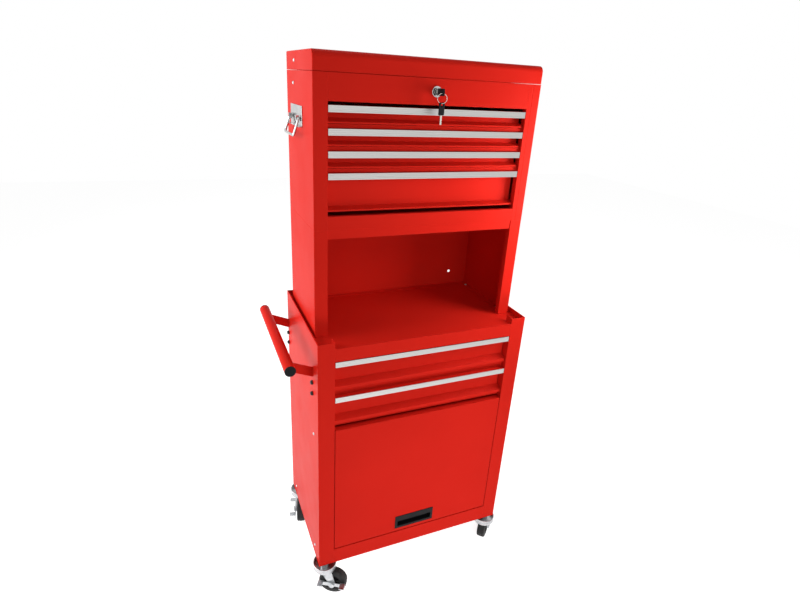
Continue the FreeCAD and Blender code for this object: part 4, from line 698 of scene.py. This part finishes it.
def cut_out(solid, tool):
    """The solid less the tool, as a new bmesh."""
    meshes = []
    for shape in (solid, tool):
        mesh = bpy.data.meshes.new("cutting")
        shape.to_mesh(mesh)
        shape.free()
        meshes.append(mesh)
    body, cutter = [bpy.data.objects.new("cutting", mesh) for mesh in meshes]
    for thing in (body, cutter):
        bpy.context.collection.objects.link(thing)
    step = body.modifiers.new("cut", "BOOLEAN")
    step.operation = "DIFFERENCE"
    step.solver = "EXACT"
    step.use_self = True
    step.object = cutter
    result = bmesh.new()
    result.from_object(body, bpy.context.evaluated_depsgraph_get())
    for thing in (body, cutter):
        bpy.data.objects.remove(thing)
    for mesh in meshes:
        bpy.data.meshes.remove(mesh)
    return result


def head_blank():
    """A pan head, spun about Z, with a flat top."""
    return spun([
        (0, 0), (HEAD_R, 0), (HEAD_R, 0.5 * MM), (HEAD_R - 0.25 * MM, 1.2 * MM),
        (HEAD_R - 0.9 * MM, 1.9 * MM), (HEAD_R - 1.9 * MM, 2.35 * MM), (0, HEAD_TALL),
    ], HEAD_STEPS)


screw_head = bpy.data.meshes.new("screw_head")
shape = cut_out(head_blank(), tapered_cross())
shape.to_mesh(screw_head)
shape.free()
rivet_head = bpy.data.meshes.new("rivet_head")
shape = head_blank()
shape.to_mesh(rivet_head)
shape.free()
print("screw head", len(screw_head.polygons), "faces")

# %% Screws in their places
HANDLE_SCREW_HEIGHTS = (0.6, 0.67)
BOLT_WIDE, SCREW_WIDE = 1.08, 0.72
SIDE_MATCH = 1 * MM


def islands(solid):
    """The separate bodies in a mesh, each as its lowest and highest corner."""
    left, boxes = set(solid.verts), []
    while left:
        front = [left.pop()]
        group = list(front)
        while front:
            near = [edge.other_vert(corner) for corner in front for edge in corner.link_edges]
            front = [corner for corner in set(near) if corner in left]
            left -= set(front)
            group += front
        axes = [[corner.co[axis] for corner in group] for axis in range(3)]
        boxes.append((Vector(map(min, axes)), Vector(map(max, axes))))
    return boxes


def on_handle(low, high):
    """Whether a screw is one of the four that hold the push handle."""
    lowest, highest = HANDLE_SCREW_HEIGHTS
    return high.x < -OPENING_HALF and lowest < low.z < highest


def off_handle(low, high):
    """Whether a screw or rivet is any other than those four."""
    return not on_handle(low, high)


def screws(name, label, head, slot, wanted, wide, tall=HEAD_TALL):
    """Heads in the places of a node's wanted screws, all in one piece, each turned a little."""
    found = merged(name)
    spots = [spot for spot in islands(found) if wanted(*spot)]
    found.free()
    together = bmesh.new()
    for low, high in spots:
        middle = (low + high) / 2
        size = high - low
        side = X if abs(size.x - size.y) > SIDE_MATCH else Z
        outward = Vector((0, 0, 1)) if side == Z else Vector((math.copysign(1, middle.x), 0, 0))
        face = high[side] if outward[side] > 0 else low[side]
        seat = middle.copy()
        seat[side] = face - outward[side] * HEAD_TALL
        start = len(together.verts)
        together.from_mesh(head)
        together.verts.ensure_lookup_table()
        turn = Vector((0, 0, 1)).rotation_difference(outward).to_matrix().to_4x4()
        twist = Matrix.Rotation(17.0 * start + middle.z * 40, 4, "Z")
        stretch = Matrix.Diagonal((wide, wide, tall / HEAD_TALL, 1))
        place = Matrix.Translation(seat) @ turn @ twist @ stretch
        bmesh.ops.transform(together, matrix=place, verts=together.verts[start:])
    thing = piece(label, together, body_of_node[name], slot, 30)
    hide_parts(name)
    return len(spots)


for wanted in (
    ("frame_screws", "handle_screw_heads", screw_head, "dark_screws", on_handle, BOLT_WIDE, BOLT_TALL),
    ("frame_screws", "frame_screw_heads", screw_head, "zinc_steel", off_handle, SCREW_WIDE),
    ("lid_rivets", "lid_rivet_heads", rivet_head, "zinc_steel", off_handle, SCREW_WIDE),
):
    print(screws(*wanted), wanted[1])

# %% [markdown]
# ## The spare key on its ring
#
# A split ring hangs from the black bow of the key in the lock, and carries the spare key. The ring
# is a wire spun twice round, with a small step to the side. The spare's bow is a flat moulding with
# its corner rounded, and a hole that the ring goes through. They turn with the lock.

# %% Ring
bow_low, bow_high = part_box("key_bow")
HOLE_IN = 5 * MM
HOLE_R = 2.6 * MM
WIRE_R = 0.5 * MM
RING_R = 9.7 * MM
hole = Vector(((bow_low.x + bow_high.x) / 2, bow_low.y + HOLE_IN, (bow_low.z + bow_high.z) / 2))
ring_centre = hole + Vector((0, 0, WIRE_R - HOLE_R - RING_R))
RING_YAW, RING_START = math.radians(-24), 2.4
WIRE_PITCH = 2.1 * WIRE_R

coil = bmesh.new()
wire = bmesh.ops.create_circle(coil, segments=12, radius=WIRE_R)["verts"]
bmesh.ops.rotate(coil, matrix=Matrix.Rotation(math.pi / 2, 3, "X"), verts=wire)
bmesh.ops.translate(coil, vec=(RING_R, 0, 0), verts=wire)
TURNS, STEPS = 2, 96
side_step = WIRE_PITCH * TURNS / STEPS
bmesh.ops.spin(coil, geom=coil.verts[:] + coil.edges[:], cent=(0, 0, 0), axis=(0, 0, 1),
               dvec=(0, 0, side_step), angle=math.tau * TURNS, steps=STEPS)
ends = [edge for edge in coil.edges if edge.is_boundary]
bmesh.ops.holes_fill(coil, edges=ends, sides=12)
bmesh.ops.recalc_face_normals(coil, faces=coil.faces)
bmesh.ops.translate(coil, vec=(0, 0, -side_step * STEPS / 2), verts=coil.verts)
upright = Matrix.Rotation(math.pi / 2, 4, "X") @ Matrix.Rotation(RING_START, 4, "Z")
stand = Matrix.Rotation(RING_YAW, 4, "Z") @ upright
bmesh.ops.transform(coil, matrix=Matrix.Translation(ring_centre) @ stand, verts=coil.verts)
RING_SMOOTH = 60
piece("key_ring", coil, "lock_body", "key_steel", RING_SMOOTH)
print("ring", round(2000 * RING_R, 1), "mm across, centre", ring_centre)

# %% Spare key
BOW_WIDE, BOW_TALL, BOW_THICK, SPARE_HOLE_R = 14 * MM, 25 * MM, 2.8 * MM, 3.0 * MM
spare_hole_z = ring_centre.z - RING_R + WIRE_R - SPARE_HOLE_R
BLADE_LONG, BLADE_WIDE, BLADE_THICK, BLADE_IN_BOW = 18.5 * MM, 4.6 * MM, 1.6 * MM, 4 * MM
BOW_CORNER, BLADE_CORNER = 2.6 * MM, 1.0 * MM
TOOTH_R, TOOTH_SIDE, TOOTH_FIRST, TOOTH_PITCH = 1.5 * MM, 3.8 * MM, 9.0 * MM, 3.4 * MM
TOOTH_CUTS = (1.4 * MM, 0.7 * MM, 1.7 * MM, 1.0 * MM)


def plate(width, tall, thick, corner):
    """An upright plate in the XZ plane with rounded corners, its top edge at z = 0."""
    solid = bmesh.new()
    bmesh.ops.create_cube(solid, size=1)
    bmesh.ops.scale(solid, vec=(width, thick, tall), verts=solid.verts)
    bmesh.ops.translate(solid, vec=(0, 0, -tall / 2), verts=solid.verts)
    uprights = [edge for edge in solid.edges if abs((edge.verts[0].co - edge.verts[1].co).y) > thick / 2]
    bmesh.ops.bevel(solid, geom=uprights, offset=corner, offset_type="OFFSET", segments=6, profile=0.5,
                    affect="EDGES", material=-1)
    return solid


def drill(radius, height):
    """A rod along Y through z = height, for cutting a hole."""
    rod = bmesh.new()
    bmesh.ops.create_cone(rod, cap_ends=True, segments=28, radius1=radius, radius2=radius, depth=0.02)
    bmesh.ops.rotate(rod, matrix=Matrix.Rotation(math.pi / 2, 3, "X"), verts=rod.verts)
    bmesh.ops.translate(rod, vec=(0, 0, height), verts=rod.verts)
    return rod


TOP_MARGIN = 1.8 * MM
spare_top = spare_hole_z + SPARE_HOLE_R + TOP_MARGIN
SPARE_YAW = math.radians(14)
hang = Matrix.Translation((ring_centre.x, ring_centre.y, spare_top)) @ Matrix.Rotation(SPARE_YAW, 4, "Z")
spare_bow = plate(BOW_WIDE, BOW_TALL, BOW_THICK, BOW_CORNER)
spare_bow = cut_out(spare_bow, drill(SPARE_HOLE_R, spare_hole_z - spare_top))
bmesh.ops.transform(spare_bow, matrix=hang, verts=spare_bow.verts)
rounded(piece("spare_key_bow", spare_bow, "lock_body", "black_plastic"), 0.5 * MM)

blade = plate(BLADE_WIDE, BLADE_LONG + BLADE_IN_BOW, BLADE_THICK, BLADE_CORNER)
teeth = bmesh.new()
for step, deep in enumerate(TOOTH_CUTS):
    notch = bmesh.ops.create_cone(teeth, cap_ends=True, segments=4, radius1=TOOTH_R, radius2=TOOTH_R,
                                  depth=0.01)["verts"]
    bmesh.ops.rotate(teeth, matrix=Matrix.Rotation(math.pi / 2, 3, "X"), verts=notch)
    place = (TOOTH_SIDE - 0.7 * deep, 0, -(TOOTH_FIRST + TOOTH_PITCH * step))
    bmesh.ops.translate(teeth, vec=place, verts=notch)
blade = cut_out(blade, teeth)
foot_of_bow = Matrix.Translation((0, 0, BLADE_IN_BOW - BOW_TALL))
bmesh.ops.transform(blade, matrix=hang @ foot_of_bow, verts=blade.verts)
rounded(piece("spare_key_blade", blade, "lock_body", "key_steel"), 0.2 * MM)
print("spare key from", round(spare_top, 4), "to", round(spare_top - BOW_TALL - BLADE_LONG, 4))

# %% [markdown]
# ## Finishes on the remaining parts
#
# The imported parts that still show get the finish of their slot.

# %% Finish
for name, thing in nodes.items():
    if not thing.hide_render:
        thing.data.materials.clear()
        thing.data.materials.append(slot_finish[node_slot[name]])
